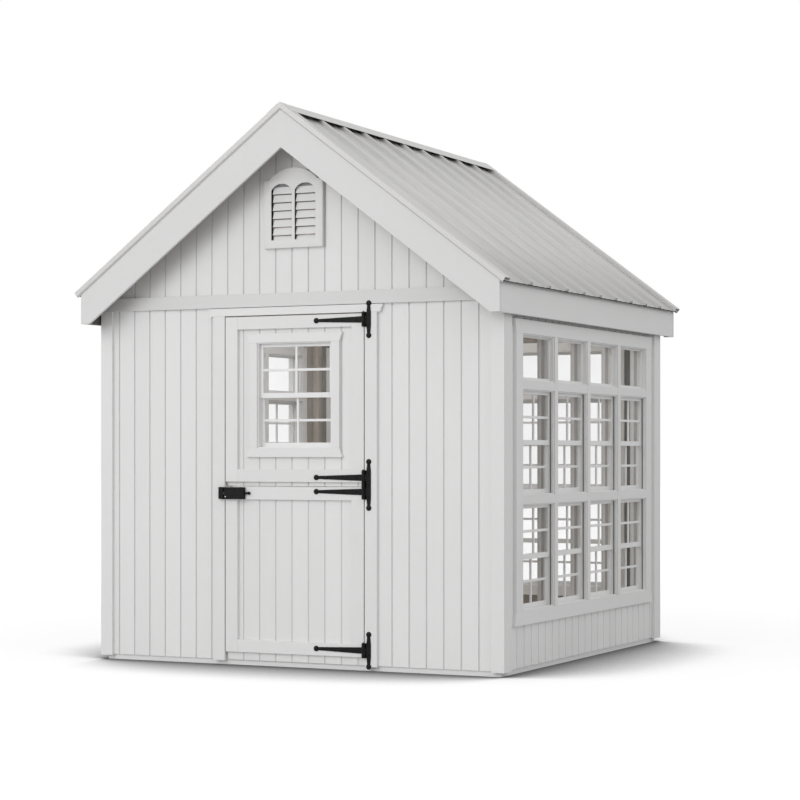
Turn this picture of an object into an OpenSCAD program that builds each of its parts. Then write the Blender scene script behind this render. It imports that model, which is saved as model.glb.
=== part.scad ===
// Garden greenhouse with a timber frame, grooved board walls, window groups in
// three walls, a split entrance door in the front and ribbed metal roof sheets.
// The origin is the middle of the footprint on the ground. The door faces -Y.

/* [Building] */
// Width of the wall framing from side to side
building_w = 2438; // [2420:1:2700]
// Length of the wall framing from front to back
building_l = 2438; // [2420:1:2700]
// Height of the wall plates' top, where the rafters sit
plate_z = 2030; // [2000:1:2200]
// Rise of the roof for each millimetre of run
roof_pitch = 0.75; // [0.6:0.01:0.9]

/* [Floor] */
// Height of the floor's rims and joists
floor_rim_h = 89; // [70:1:110]
// Thickness of the floor deck
deck_t = 19; // [15:1:30]
// Largest distance from one floor joist to the next
joist_spacing = 306; // [280:1:330]

/* [Framing] */
// Thickness of studs, plates, joists and rafters
timber_t = 38; // [30:1:45]
// Depth of the wall studs from outside to inside
stud_d = 64; // [50:1:90]
// Largest distance from one plain stud to the next
stud_spacing = 300; // [250:1:330]
// Depth of the rafters, square to the slope
rafter_d = 89; // [80:1:110]
// Largest distance from one pair of rafters to the next
rafter_spacing = 305; // [280:1:330]
// Length of the level seat cut into a rafter over the wall plate
rafter_seat = 40; // [30:1:50]
// Thickness of the ridge board
ridge_board_t = 19; // [15:1:30]
// Height of the ridge board
ridge_board_h = 140; // [130:1:180]

/* [Walls and trim] */
// Thickness of the siding
siding_t = 12; // [9:1:16]
// Height of the siding's lower edge above the ground
siding_foot = 30; // [20:1:50]
// Thickness of corner boards, bands, casings and roof edge boards
trim_t = 19; // [15:1:25]
// Width of the corner boards as seen from the front or the back
corner_face_w = 75; // [60:1:90]
// Width of the corner boards that butt behind them, on the sides
corner_side_w = 89; // [60:1:100]
// Height of the corner boards' and door casings' lower ends
trim_foot = 24; // [15:1:30]
// Height of the band's lower edge
band_z = 1981; // [1975:1:1990]
// Height of the band across each gable
band_h = 74; // [60:1:90]

/* [Windows in the walls] */
// Number of windows side by side in a group
window_columns = 4; // [2:1:4]
// Width of one window opening
window_w = 460; // [400:1:465]
// Width of the posts between two windows
mullion_w = 46; // [42:1:50]
// Height of the bars between two rows of windows
transom_h = 48; // [42:1:60]
// Height of the windows' sill above the ground
sill_z = 333; // [300:1:360]
// Height of an opening in the two lower rows
tall_window_h = 568; // [520:1:570]
// Height of an opening in the top row
top_window_h = 250; // [200:1:260]
// Width of the casing at the two ends of a group
group_side_w = 92; // [60:1:95]
// Height of the casing above and below a group
group_rail_h = 76; // [60:1:90]
// How far the ends of the upper and lower casings flare out
casing_flare = 18; // [10:1:20]
// Width of a window frame's members
frame_w = 24; // [20:1:30]
// Depth of the window frames behind the face of the casing
window_frame_d = 62; // [50:1:75]
// How far the window frames lie behind the casing's face
frame_setback = 8; // [4:1:12]
// Height of the bar where two sashes meet
meeting_rail_h = 28; // [20:1:36]
// Thickness of the glass
glass_t = 4; // [3:1:6]

/* [Entrance door] */
// Width of the door leaves
door_w = 858; // [800:1:900]
// Height of the upper leaf's top edge
door_top_z = 1929; // [1900:1:1935]
// Height of the lower leaf's top edge
door_split_z = 989; // [960:1:1000]
// Gap round the leaves and between them
door_gap = 6; // [5:1:8]
// Thickness of the leaves' boards
door_panel_t = 7; // [5:1:9]
// Thickness of the battens on the back of the leaves
batten_t = 19; // [15:1:25]
// Width of those battens
batten_w = 64; // [50:1:75]
// How far the battens stay inside a leaf's edges
batten_inset = 29; // [25:1:40]
// Clearance between the lower leaf's battens and the floor deck
batten_floor_gap = 12; // [8:1:20]
// How far the frame laps behind the leaves' edges as a stop
stop_lap = 9; // [6:1:12]
// Width of the leaves' upright trim
stile_w = 75; // [60:1:85]
// Height of the leaves' level trim
rail_h = 70; // [60:1:80]
// Height of the board strip left bare under the upper leaf's trim
bare_strip_h = 22; // [15:1:30]
// Height of the lower edge of the lower leaf's trim
lower_trim_z = 74; // [60:1:90]
// Width of the casing beside the doorway
door_casing_w = 72; // [60:1:85]

/* [Door window] */
// Width of the opening in the upper leaf
door_window_w = 460; // [400:1:480]
// Height of the opening in the upper leaf
door_window_h = 580; // [520:1:600]
// Height of that opening's middle
door_window_mid_z = 1493; // [1475:1:1505]
// Width of the casing round it
door_window_casing_w = 50; // [40:1:55]
// Depth of its frame from the face of the leaf inwards
door_window_frame_d = 45; // [35:1:60]

/* [Gable vents] */
// Width of a vent
vent_w = 364; // [340:1:380]
// Height of a vent's lower edge
vent_z = 2300; // [2280:1:2320]
// Height of a vent from its lower edge to its shoulders
vent_side_h = 371; // [360:1:380]
// Rise of the arch above the shoulders
vent_arch_rise = 67; // [50:1:75]
// Width of each flat shoulder
vent_shoulder_w = 32; // [20:1:40]
// How far a vent stands out from the siding
vent_proud = 25; // [20:1:32]
// Width of each of its two openings
vent_hole_w = 128; // [110:1:130]
// Width of the post between them
vent_post_w = 18; // [14:1:24]
// Thickness of the vent's face, in front of the slats
vent_face_t = 6; // [4:1:8]
// Height of the vent's lower rail
vent_rail_h = 44; // [35:1:50]
// Height of the openings to the top of their arches
vent_hole_h = 309; // [290:1:315]
// Rise of the openings' arches
vent_hole_rise = 37; // [25:1:45]
// Distance from one slat to the next
slat_pitch = 45; // [40:1:50]
// Height of the lowest slat's front edge above the lower rail
slat_lift = 6; // [4:1:12]
// Thickness of a slat
slat_t = 5; // [4:1:8]
// Clearance between the slats and the vent's face
slat_clearance = 1; // [0.5:0.5:3]
// How far a slat slopes down on its way out
slat_drop = 18; // [10:1:24]

/* [Roof] */
// How far the eave boards' outer face lies beyond the framing
eave_overhang = 68.5; // [60:0.5:90]
// How far the rake boards' outer face lies beyond the framing
gable_overhang = 179.5; // [150:0.5:220]
// Thickness of the roof boards under the metal
roof_board_t = 19; // [15:1:25]
// Clearance between roof pieces that meet on the slope
slope_gap = 0.05; // [0.02:0.01:0.2]
// Depth of the rake boards, square to the slope
rake_board_d = 175; // [165:1:190]
// Height of the lower edge of the rake boards' feet and the eave boards
eave_z = 1906; // [1890:1:1930]
// Width of the joint where two roof pieces meet at the ridge
ridge_joint = 1; // [1:0.5:3]
// Thickness of the roof metal
sheet_t = 1.5; // [1:0.5:2]
// Height of the ribs from the roof boards
rib_h = 19; // [15:1:24]
// Width of a rib at its foot
rib_base_w = 64; // [50:1:80]
// Width of a rib at its top
rib_top_w = 25; // [18:1:35]
// Distance from one rib to the next
rib_pitch = 261; // [240:1:300]
// How far the roof metal runs past the roof boards' lower edge
sheet_overhang = 31; // [20:1:50]
// Distance along the slope from the ridge to the roof metal's top edge
sheet_start = 8; // [6:1:20]
// How far the rake trim stands out from the rake boards
rake_trim_proud = 11.5; // [8:0.5:15]
// How far the rake trim's face reaches below the roof boards' top
rake_trim_drop = 8; // [5:1:12]
// Width of the rake trim's leg on the roof
rake_trim_leg = 70; // [50:1:90]
// Half the ridge cap's width on plan
ridge_cap_half = 75; // [60:1:110]

/* [Hinges] */
// Diameter of the hinge barrels
barrel_dia = 20; // [16:1:21]
// Diameter of the hinge pins
pin_dia = 8; // [5:0.5:10]
// Clearance round the pins
pin_clearance = 0.05; // [0.02:0.01:0.1]
// Clearance between two knuckles
knuckle_gap = 0.5; // [0.3:0.1:1]
// Thickness of straps and hinge plates
strap_t = 4; // [3:0.5:5]
// Height of a strap at its knuckle
strap_root_h = 35; // [28:1:40]
// Height of a strap at its tip
strap_tip_h = 14; // [10:1:18]
// Distance from the pin to the centre of the strap's round end
strap_l = 291; // [250:1:320]
// Diameter of the round ends
hinge_ball_dia = 27; // [22:1:32]
// Thickness of the round ends
hinge_ball_t = 8; // [6:1:12]
// Height of the knuckles above and below a strap
outer_knuckle_h = 22; // [18:1:26]
// Distance from the pin to a hinge plate's near edge
plate_start = 12; // [11:1:14]
// Distance from the pin to a hinge plate's far edge
plate_end = 41; // [35:1:50]
// Distance from the pin to the plate's round ends
plate_ball_x = 28; // [26:1:29]
// Height from a single plate's middle to its round ends
plate_ball_rise = 86.5; // [75:0.5:90]
// Height from the double plate's outer edge to its round ends
double_plate_rise = 46; // [40:1:55]
// Width of the plate's necks where they leave the plate
plate_neck_w = 24; // [18:1:26]
// Width of the plate's necks at their round ends
plate_neck_end_w = 12; // [8:1:16]
// Height of the top strap's middle below the leaf's top edge
top_strap_drop = 33; // [30:1:40]
// Height of the middle straps' middles from the split
strap_from_split_low = 23; // [22:1:30]
// Height of the upper leaf's lower strap above the split
strap_from_split_high = 54; // [50:1:60]
// Height of the bottom strap's middle
bottom_strap_z = 112; // [108:1:120]

/* [Latch] */
// Length of the latch case
latch_case_l = 124; // [110:1:130]
// Height of the latch case and the keeper
latch_h = 66; // [50:1:68]
// Depth of the latch case and the keeper
latch_d = 20; // [18:1:26]
// Height of the latch's middle below the split
latch_drop = 35; // [34:1:45]
// How far the case stays inside the leaf's edge
latch_edge = 3; // [2:1:8]
// Diameter of the bolt
bolt_dia = 12; // [10:1:14]
// Clearance round the bolt in its case
bolt_clearance = 0.1; // [0.05:0.01:0.3]
// Length of the knob at the bolt's tail
bolt_knob_l = 12; // [8:1:20]
// Diameter of the knob at the bolt's tail
bolt_knob_dia = 18; // [15:1:20]
// Clearance between the knob and the case when the bolt is shut
bolt_knob_gap = 1; // [0.5:0.5:3]
// Travel of the bolt into the keeper
bolt_travel = 22; // [18:1:24]
// Length of the keeper
keeper_l = 29; // [27:1:34]
// Clearance round the bolt in the keeper
keeper_clearance = 1; // [0.5:0.1:2]

/* [Hidden] */
$fn = 64;
// Straight steps in each arch of the vents
arch_steps = 16;

// Framing and faces
half_w = building_w / 2;
half_l = building_l / 2;
deck_top = floor_rim_h + deck_t;
face_w = half_w + siding_t;
face_l = half_l + siding_t;
trim_face_w = face_w + trim_t;
trim_face_l = face_l + trim_t;

// Roof lines, each given by its height over the ridge
slope_len = sqrt(1 + roof_pitch * roof_pitch);
pitch_angle = atan(roof_pitch);
rafter_bottom = plate_z + roof_pitch * (half_w - rafter_seat);
rafter_top = rafter_bottom + rafter_d * slope_len;
boards_top = rafter_top + roof_board_t * slope_len;
rake_bottom = boards_top - rake_board_d * slope_len;
eave_x = half_w + eave_overhang;
rake_y = half_l + gable_overhang;
rake_in = rake_y - trim_t;
rake_trim_y = rake_y + rake_trim_proud;
sheet_end = eave_x * slope_len + sheet_overhang;
trim_top = rib_h + sheet_t;
cap_top = trim_top + sheet_t;

// Windows
window_pitch = window_w + mullion_w;
group_half = (window_columns * window_pitch - mullion_w) / 2;
row_z = [sill_z, sill_z + tall_window_h + transom_h, sill_z + 2 * (tall_window_h + transom_h)];
row_h = [tall_window_h, tall_window_h, top_window_h];
group_top = row_z[2] + top_window_h;

// Door
door_half = door_w / 2;
doorway_half = door_half + door_gap;
doorway_top = door_top_z + door_gap;
upper_foot = door_split_z + door_gap;
door_window_z = door_window_mid_z - door_window_h / 2;
stop_half = door_half - stop_lap;
door_back = face_l - door_panel_t;
siding_joint_z = band_z + band_h / 2;
side_siding_top = rafter_bottom - roof_pitch * face_w;

// Hinges and latch
pin_x = door_half + door_gap / 2;
pin_y = -trim_face_l - barrel_dia / 2;
top_strap_z = door_top_z - top_strap_drop;
high_strap_z = door_split_z + strap_from_split_high;
low_strap_z = door_split_z - strap_from_split_low;
latch_z = door_split_z - latch_drop;
bolt_y = -trim_face_l - latch_d / 2;

// Height of a roof line at a distance from the ridge
function slope_z(ridge_z, x) = ridge_z - roof_pitch * abs(x);

// Places that are evenly spaced from one end to the other, at most a spacing apart
function spaced(low, high, spacing) =
    let (gaps = ceil((high - low) / spacing))
    [for (i = [0:gaps]) low + (high - low) * i / gaps];

// Middle of a window column
function column_x(i) = (i - (window_columns - 1) / 2) * window_pitch;

// Radius of an arch from its chord and rise
function arch_r(chord, rise) = (chord * chord / 4 + rise * rise) / (2 * rise);

// A block from its lowest corner to its highest
module block(low, high) translate(low) cube(high - low);

// An outline in X and Z, made solid from one Y to another
module across(y0, y1) translate([0, y1, 0]) rotate([90, 0, 0]) linear_extrude(y1 - y0) children();

// An outline in Y and Z, made solid from one X to another
module along(x0, x1) translate([x0, 0, 0]) rotate([90, 0, 90]) linear_extrude(x1 - x0) children();

module both_x() {
    children();
    mirror([1, 0, 0]) children();
}

module both_y() {
    children();
    mirror([0, 1, 0]) children();
}

// Walls are drawn as the front wall and turned to their side
module on_back() rotate([0, 0, 180]) children();
module on_left() rotate([0, 0, -90]) children();
module on_right() rotate([0, 0, 90]) children();

// The right slope of the roof: X runs down it and Z stands square to it
module on_slope() translate([0, 0, boards_top + slope_gap]) rotate([0, pitch_angle, 0]) children();

// Outline of an upright with an arch on top, between two flat shoulders
function arch_points(w, h, rise, shoulder) =
    let (r = arch_r(w - 2 * shoulder, rise), half_turn = asin((w / 2 - shoulder) / r))
    concat(
        [[-w / 2, 0], [w / 2, 0]],
        shoulder > 0 ? [[w / 2, h]] : [],
        [for (i = [0:arch_steps])
            let (turn = half_turn * (1 - 2 * i / arch_steps)) [r * sin(turn), h + rise - r + r * cos(turn)]],
        shoulder > 0 ? [[-w / 2, h]] : []
    );

// A level casing whose ends flare from one half width to another
module flared_outline(half_low, half_high, z0, z1)
    polygon([[-half_low, z0], [half_low, z0], [half_high, z1], [-half_high, z1]]);

// Floor
module floor_frame() color("tan") {
    both_y() block([-half_w, -half_l, 0], [half_w, -half_l + timber_t, floor_rim_h]);
    for (x = spaced(-half_w + timber_t / 2, half_w - timber_t / 2, joist_spacing))
        block([x - timber_t / 2, -half_l, 0], [x + timber_t / 2, half_l, floor_rim_h]);
}

module floor_deck() color("burlywood")
    block([-half_w, -half_l, floor_rim_h], [half_w, half_l, deck_top]);

// Framing: a plate or rail, and a stud, in a wall at a distance from the middle
module wall_rail(x0, x1, z0, z1, dist) block([x0, -dist, z0], [x1, -dist + stud_d, z1]);
module wall_stud(x, z0, z1, dist) wall_rail(x - timber_t / 2, x + timber_t / 2, z0, z1, dist);

// Studs of a gable, cut to the underside of the end rafters
module gable_studs(dist) {
    stud_half = timber_t / 2;
    across(-dist, -dist + stud_d) both_x()
        for (x = [vent_w / 2 + stud_half:stud_spacing:half_w - stud_d - stud_half])
            polygon([
                [x - stud_half, plate_z - timber_t], [x + stud_half, plate_z - timber_t],
                [x + stud_half, slope_z(rafter_bottom - slope_gap, x + stud_half)],
                [x - stud_half, slope_z(rafter_bottom - slope_gap, x - stud_half)]
            ]);
    wall_rail(-vent_w / 2 - stud_half, vent_w / 2 + stud_half, vent_z - timber_t, vent_z, dist);
}

// Framing of a wall with a window group
module window_wall_frame(half, dist) {
    wall_rail(-half, half, deck_top, deck_top + timber_t, dist);
    wall_rail(-half, half, plate_z - timber_t, plate_z, dist);
    for (x = [-half + timber_t / 2, half - timber_t / 2])
        wall_stud(x, deck_top, plate_z, dist);
    for (x = [-group_half - timber_t / 2, group_half + timber_t / 2])
        wall_stud(x, deck_top, plate_z, dist);
    for (i = [1:window_columns - 1])
        wall_stud(column_x(i) - window_pitch / 2, deck_top, plate_z, dist);
    wall_rail(-group_half, group_half, sill_z - timber_t, sill_z, dist);
    wall_rail(-group_half, group_half, group_top, group_top + timber_t, dist);
    for (row = [1, 2])
        wall_rail(-group_half, group_half,
                  row_z[row] - (transom_h + timber_t) / 2, row_z[row] - (transom_h - timber_t) / 2, dist);
}

module front_frame_sides() color("tan") both_x() {
    outer = half_w - stud_d;
    wall_rail(stop_half, outer, deck_top, deck_top + timber_t, half_l);
    for (x = spaced(stop_half + timber_t / 2, outer - timber_t / 2, stud_spacing))
        wall_stud(x, deck_top, plate_z - timber_t, half_l);
}

module front_frame_head() color("tan") {
    wall_rail(-half_w + stud_d, half_w - stud_d, plate_z - timber_t, plate_z, half_l);
    wall_rail(-stop_half, stop_half, door_top_z - stop_lap, plate_z - timber_t, half_l);
    gable_studs(half_l);
}

module back_frame() color("tan") on_back() {
    window_wall_frame(half_w - stud_d, half_l);
    gable_studs(half_l);
}

module left_frame() color("tan") on_left() window_wall_frame(half_l, half_w);
module right_frame() color("tan") on_right() window_wall_frame(half_l, half_w);

// Siding
module window_siding(half, dist, top) difference() {
    block([-half, -dist - siding_t, siding_foot], [half, -dist, top]);
    block([-group_half, -dist - 2 * siding_t, sill_z], [group_half, -dist + siding_t, group_top]);
}

module vent_place() translate([0, vent_z]) children();

module vent_holes_outline() {
    for (side = [-1, 1])
        translate([side * (vent_post_w + vent_hole_w) / 2, vent_rail_h])
            polygon(arch_points(vent_hole_w, vent_hole_h - vent_hole_rise, vent_hole_rise, 0));
}

module gable_siding(lower_points) across(-face_l, -half_l) difference() {
    polygon(concat(
        [
            [-face_w, siding_joint_z], [-face_w, slope_z(rafter_top, face_w)], [0, rafter_top],
            [face_w, slope_z(rafter_top, face_w)], [face_w, siding_joint_z]
        ],
        lower_points
    ));
    vent_place() translate([-vent_post_w / 2 - vent_hole_w, vent_rail_h])
        square([vent_post_w + 2 * vent_hole_w, vent_hole_h]);
}

module front_siding_sides() color("gainsboro") both_x()
    block([doorway_half, -face_l, siding_foot], [face_w, -half_l, siding_joint_z]);

module front_gable_siding() color("gainsboro")
    gable_siding([
        [doorway_half, siding_joint_z], [doorway_half, doorway_top],
        [-doorway_half, doorway_top], [-doorway_half, siding_joint_z]
    ]);

module back_siding() color("gainsboro") on_back() window_siding(face_w, half_l, siding_joint_z);
module back_gable_siding() color("gainsboro") on_back() gable_siding([]);
module left_siding() color("gainsboro") on_left() window_siding(half_l, half_w, side_siding_top);
module right_siding() color("gainsboro") on_right() window_siding(half_l, half_w, side_siding_top);

// Trim on the walls
module corner_boards() color("white") both_x() both_y() {
    block([trim_face_w - corner_face_w, -trim_face_l, trim_foot], [trim_face_w, -face_l, band_z]);
    block([face_w, -face_l, trim_foot],
          [trim_face_w, -face_l + corner_side_w, slope_z(rafter_bottom - slope_gap, trim_face_w)]);
}

module gable_bands() color("white") both_y()
    block([-trim_face_w, -trim_face_l, band_z], [trim_face_w, -face_l, band_z + band_h]);

module door_side_casings() color("white") both_x()
    block([doorway_half, -trim_face_l, trim_foot],
          [doorway_half + door_casing_w, -face_l, doorway_top]);

module door_head_casing() color("white") {
    half = doorway_half + door_casing_w;
    across(-trim_face_l, -face_l)
        flared_outline(half + casing_flare, half + 2 * casing_flare, doorway_top, band_z);
}

// A wall's window group: casing, frames and glass
module window_casing(dist) {
    outer = group_half + group_side_w;
    across(-dist - siding_t - trim_t, -dist - siding_t) difference() {
        union() {
            translate([-outer, sill_z]) square([2 * outer, group_top - sill_z]);
            flared_outline(outer + casing_flare, outer, sill_z - group_rail_h, sill_z);
            flared_outline(outer, outer + casing_flare, group_top, group_top + group_rail_h);
        }
        translate([-group_half, sill_z]) square([2 * group_half, group_top - sill_z]);
    }
    across(-dist - siding_t - trim_t, -dist) {
        for (i = [1:window_columns - 1])
            translate([column_x(i) - (window_pitch + mullion_w) / 2, sill_z])
                square([mullion_w, group_top - sill_z]);
        for (row = [1, 2])
            translate([-group_half, row_z[row] - transom_h]) square([2 * group_half, transom_h]);
    }
}

// Ring of one window frame, with a meeting rail where it has two sashes
module frame_outline(w, h, sashes) difference() {
    translate([-w / 2, 0]) square([w, h]);
    for (i = [0:sashes - 1]) {
        light_h = (h - 2 * frame_w - (sashes - 1) * meeting_rail_h) / sashes;
        translate([frame_w - w / 2, frame_w + i * (light_h + meeting_rail_h)])
            square([w - 2 * frame_w, light_h]);
    }
}

module at_windows() {
    for (i = [0:window_columns - 1]) {
        for (row = [0:2]) {
            $row = row;
            translate([column_x(i), 0, row_z[row]]) children();
        }
    }
}

module window_frames(dist) {
    front = -dist - siding_t - trim_t + frame_setback;
    at_windows() across(front, front + window_frame_d)
        frame_outline(window_w, row_h[$row], $row == 2 ? 1 : 2);
}

module window_glass(dist) {
    front = -dist - siding_t - trim_t + frame_setback + (window_frame_d - glass_t) / 2;
    at_windows() for (i = [0:($row == 2 ? 0 : 1)]) {
        sashes = $row == 2 ? 1 : 2;
        light_h = (row_h[$row] - 2 * frame_w - (sashes - 1) * meeting_rail_h) / sashes;
        translate([0, 0, frame_w + i * (light_h + meeting_rail_h)])
            block([frame_w - window_w / 2, front, 0], [window_w / 2 - frame_w, front + glass_t, light_h]);
    }
}

module back_window_casing() color("white") on_back() window_casing(half_l);
module back_window_frames() color("whitesmoke") on_back() window_frames(half_l);
module back_window_glass() color("lightblue", 0.4) on_back() window_glass(half_l);
module left_window_casing() color("white") on_left() window_casing(half_w);
module left_window_frames() color("whitesmoke") on_left() window_frames(half_w);
module left_window_glass() color("lightblue", 0.4) on_left() window_glass(half_w);
module right_window_casing() color("white") on_right() window_casing(half_w);
module right_window_frames() color("whitesmoke") on_right() window_frames(half_w);
module right_window_glass() color("lightblue", 0.4) on_right() window_glass(half_w);

// Louvred vents, one in each gable: a face with two arched openings, with slats
// behind it that run from one side of the vent's box to the other
module vent_slats() {
    box_half = vent_post_w / 2 + vent_hole_w;
    front = -face_l - vent_proud + vent_face_t + slat_clearance;
    count = floor((vent_hole_h - slat_lift - slat_t - slat_drop) / slat_pitch) + 1;
    for (i = [0:count - 1]) {
        z = vent_z + vent_rail_h + slat_lift + i * slat_pitch;
        along(-box_half, box_half)
            polygon([[front, z], [front, z + slat_t], [-face_l, z + slat_t + slat_drop], [-face_l, z + slat_drop]]);
    }
}

module gable_vents() color("white") both_y() {
    face_y = -face_l - vent_proud;
    box_half = vent_post_w / 2 + vent_hole_w;
    across(face_y, face_y + vent_face_t) vent_place() difference() {
        polygon(arch_points(vent_w, vent_side_h, vent_arch_rise, vent_shoulder_w));
        vent_holes_outline();
    }
    across(face_y + vent_face_t, -face_l) vent_place() difference() {
        polygon(arch_points(vent_w, vent_side_h, vent_arch_rise, vent_shoulder_w));
        translate([-box_half, vent_rail_h]) square([2 * box_half, vent_hole_h]);
    }
    vent_slats();
}

// Roof timber
module rafter_outline() {
    start = ridge_board_t / 2;
    tail = eave_x - trim_t;
    polygon([
        [start, slope_z(rafter_top, start)], [tail, slope_z(rafter_top, tail)],
        [tail, slope_z(rafter_bottom, tail)], [half_w, slope_z(rafter_bottom, half_w)],
        [half_w, plate_z], [half_w - rafter_seat, plate_z],
        [start, slope_z(rafter_bottom, start)]
    ]);
}

rafter_places = spaced(-half_l + timber_t / 2, half_l - timber_t / 2, rafter_spacing);

module rafters() color("tan") both_x()
    for (y = rafter_places)
        across(y - timber_t / 2, y + timber_t / 2) rafter_outline();

module ridge_board() color("tan") {
    top = slope_z(rafter_top, ridge_board_t / 2);
    block([-ridge_board_t / 2, -half_l, top - ridge_board_h], [ridge_board_t / 2, half_l, top]);
}

module eave_blocks() color("tan") both_x()
    for (i = [1:len(rafter_places) - 1])
        across(rafter_places[i - 1] + timber_t / 2, rafter_places[i] - timber_t / 2)
            polygon([
                [half_w - timber_t, plate_z], [half_w, plate_z],
                [half_w, slope_z(rafter_top, half_w)],
                [half_w - timber_t, slope_z(rafter_top, half_w - timber_t)]
            ]);

module roof_boards() color("burlywood") both_x() across(-rake_in, rake_in) {
    start = ridge_joint / 2;
    polygon([
        [start, slope_z(boards_top, start)], [eave_x, slope_z(boards_top, eave_x)],
        [eave_x, slope_z(rafter_top + slope_gap, eave_x)], [start, slope_z(rafter_top + slope_gap, start)]
    ]);
}

module rake_boards() color("white") both_x() both_y() across(-rake_y, -rake_in) {
    start = ridge_joint / 2;
    foot_x = (rake_bottom - eave_z) / roof_pitch;
    polygon([
        [start, slope_z(boards_top, start)], [eave_x, slope_z(boards_top, eave_x)],
        [eave_x, eave_z], [foot_x, eave_z], [start, slope_z(rake_bottom, start)]
    ]);
}

module eave_boards() color("white") both_x() across(-rake_in, rake_in)
    polygon([
        [eave_x - trim_t, eave_z], [eave_x, eave_z], [eave_x, slope_z(rafter_top, eave_x)],
        [eave_x - trim_t, slope_z(rafter_top, eave_x - trim_t)]
    ]);

// Roof metal
rib_count = floor((2 * rake_y - rib_base_w) / rib_pitch) + 1;
function rib_y(i) = (i - (rib_count - 1) / 2) * rib_pitch;

module sheet_outline() {
    upper = [for (i = [0:rib_count - 1]) each [
        [rib_y(i) - rib_base_w / 2, sheet_t], [rib_y(i) - rib_top_w / 2, rib_h],
        [rib_y(i) + rib_top_w / 2, rib_h], [rib_y(i) + rib_base_w / 2, sheet_t]
    ]];
    lower = [for (i = [rib_count - 1:-1:0]) each [
        [rib_y(i) + rib_base_w / 2 - sheet_t, 0], [rib_y(i) + rib_top_w / 2 - sheet_t, rib_h - sheet_t],
        [rib_y(i) - rib_top_w / 2 + sheet_t, rib_h - sheet_t], [rib_y(i) - rib_base_w / 2 + sheet_t, 0]
    ]];
    polygon(concat([[-rake_y, 0], [-rake_y, sheet_t]], upper, [[rake_y, sheet_t], [rake_y, 0]], lower));
}

module roof_sheets() color("silver") both_x()
    on_slope() along(sheet_start, sheet_end) sheet_outline();

module rake_trim_outline() {
    polygon([
        [-rake_y, -rake_trim_drop], [-rake_trim_y, -rake_trim_drop], [-rake_trim_y, trim_top],
        [rake_trim_leg - rake_trim_y, trim_top], [rake_trim_leg - rake_trim_y, rib_h],
        [sheet_t - rake_trim_y, rib_h], [sheet_t - rake_trim_y, sheet_t - rake_trim_drop],
        [-rake_y, sheet_t - rake_trim_drop]
    ]);
}

module rake_trims() color("silver") both_x() both_y()
    intersection() {
        on_slope() along(-rib_h, sheet_end) rake_trim_outline();
        block([ridge_joint / 2, -2 * rake_y, 0], [2 * eave_x, 0, 2 * boards_top]);
    }

module ridge_cap() color("silver") {
    top = boards_top + cap_top * slope_len + 2 * slope_gap;
    bottom = boards_top + trim_top * slope_len + 2 * slope_gap;
    across(-rake_trim_y, rake_trim_y)
        polygon([
            [0, top], [ridge_cap_half, slope_z(top, ridge_cap_half)],
            [ridge_cap_half, slope_z(bottom, ridge_cap_half)], [0, bottom],
            [-ridge_cap_half, slope_z(bottom, ridge_cap_half)],
            [-ridge_cap_half, slope_z(top, ridge_cap_half)]
        ]);
}

// Door leaves
module leaf_panel(z0, z1) block([-door_half, -face_l, z0], [door_half, -door_back, z1]);

module trim_ring(z0, z1) across(-trim_face_l, -face_l) difference() {
    translate([-door_half, z0]) square([door_w, z1 - z0]);
    translate([stile_w - door_half, z0 + rail_h])
        square([door_w - 2 * stile_w, z1 - z0 - 2 * rail_h]);
}

module batten_ring(z0, z1) {
    half = door_half - batten_inset;
    across(-door_back, -door_back + batten_t) difference() {
        translate([-half, z0]) square([2 * half, z1 - z0]);
        translate([batten_w - half, z0 + batten_w])
            square([2 * (half - batten_w), z1 - z0 - 2 * batten_w]);
    }
}

module door_window_hole()
    block([-door_window_w / 2, -trim_face_l, door_window_z],
          [door_window_w / 2, -half_l, door_window_z + door_window_h]);

module upper_door_panel() color("gainsboro") difference() {
    leaf_panel(upper_foot, door_top_z);
    door_window_hole();
}

module upper_door_trim() color("white") {
    trim_ring(upper_foot + bare_strip_h, door_top_z);
    half = door_window_w / 2 + door_window_casing_w;
    top = door_window_z + door_window_h;
    across(-trim_face_l, -face_l) difference() {
        union() {
            translate([-half, door_window_z]) square([2 * half, door_window_h]);
            flared_outline(half + casing_flare, half, door_window_z - door_window_casing_w, door_window_z);
            flared_outline(half, half + casing_flare, top, top + door_window_casing_w);
        }
        translate([-door_window_w / 2, door_window_z]) square([door_window_w, door_window_h]);
    }
}

module upper_door_battens() color("tan")
    batten_ring(upper_foot + stop_lap, door_top_z - 2 * stop_lap);

module door_window_frame() color("whitesmoke") {
    front = -trim_face_l + frame_setback;
    across(front, -trim_face_l + door_window_frame_d) translate([0, door_window_z])
        frame_outline(door_window_w, door_window_h, 2);
}

module door_window_glass() color("lightblue", 0.4) {
    front = -trim_face_l + (door_window_frame_d + frame_setback - glass_t) / 2;
    light_h = (door_window_h - 2 * frame_w - meeting_rail_h) / 2;
    for (i = [0, 1])
        translate([0, 0, door_window_z + frame_w + i * (light_h + meeting_rail_h)])
            block([frame_w - door_window_w / 2, front, 0],
                  [door_window_w / 2 - frame_w, front + glass_t, light_h]);
}

module lower_door_panel() color("gainsboro") leaf_panel(siding_foot, door_split_z);
module lower_door_trim() color("white") trim_ring(lower_trim_z, door_split_z);
module lower_door_battens() color("tan")
    batten_ring(deck_top + batten_floor_gap, door_split_z - stop_lap);

// Hinges
module knuckle(z0, z1) translate([pin_x, pin_y, z0]) cylinder(d = barrel_dia, h = z1 - z0);
module flat_ball(x, z) translate([x, -trim_face_l, z]) rotate([90, 0, 0])
    cylinder(d = hinge_ball_dia, h = hinge_ball_t);

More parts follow.
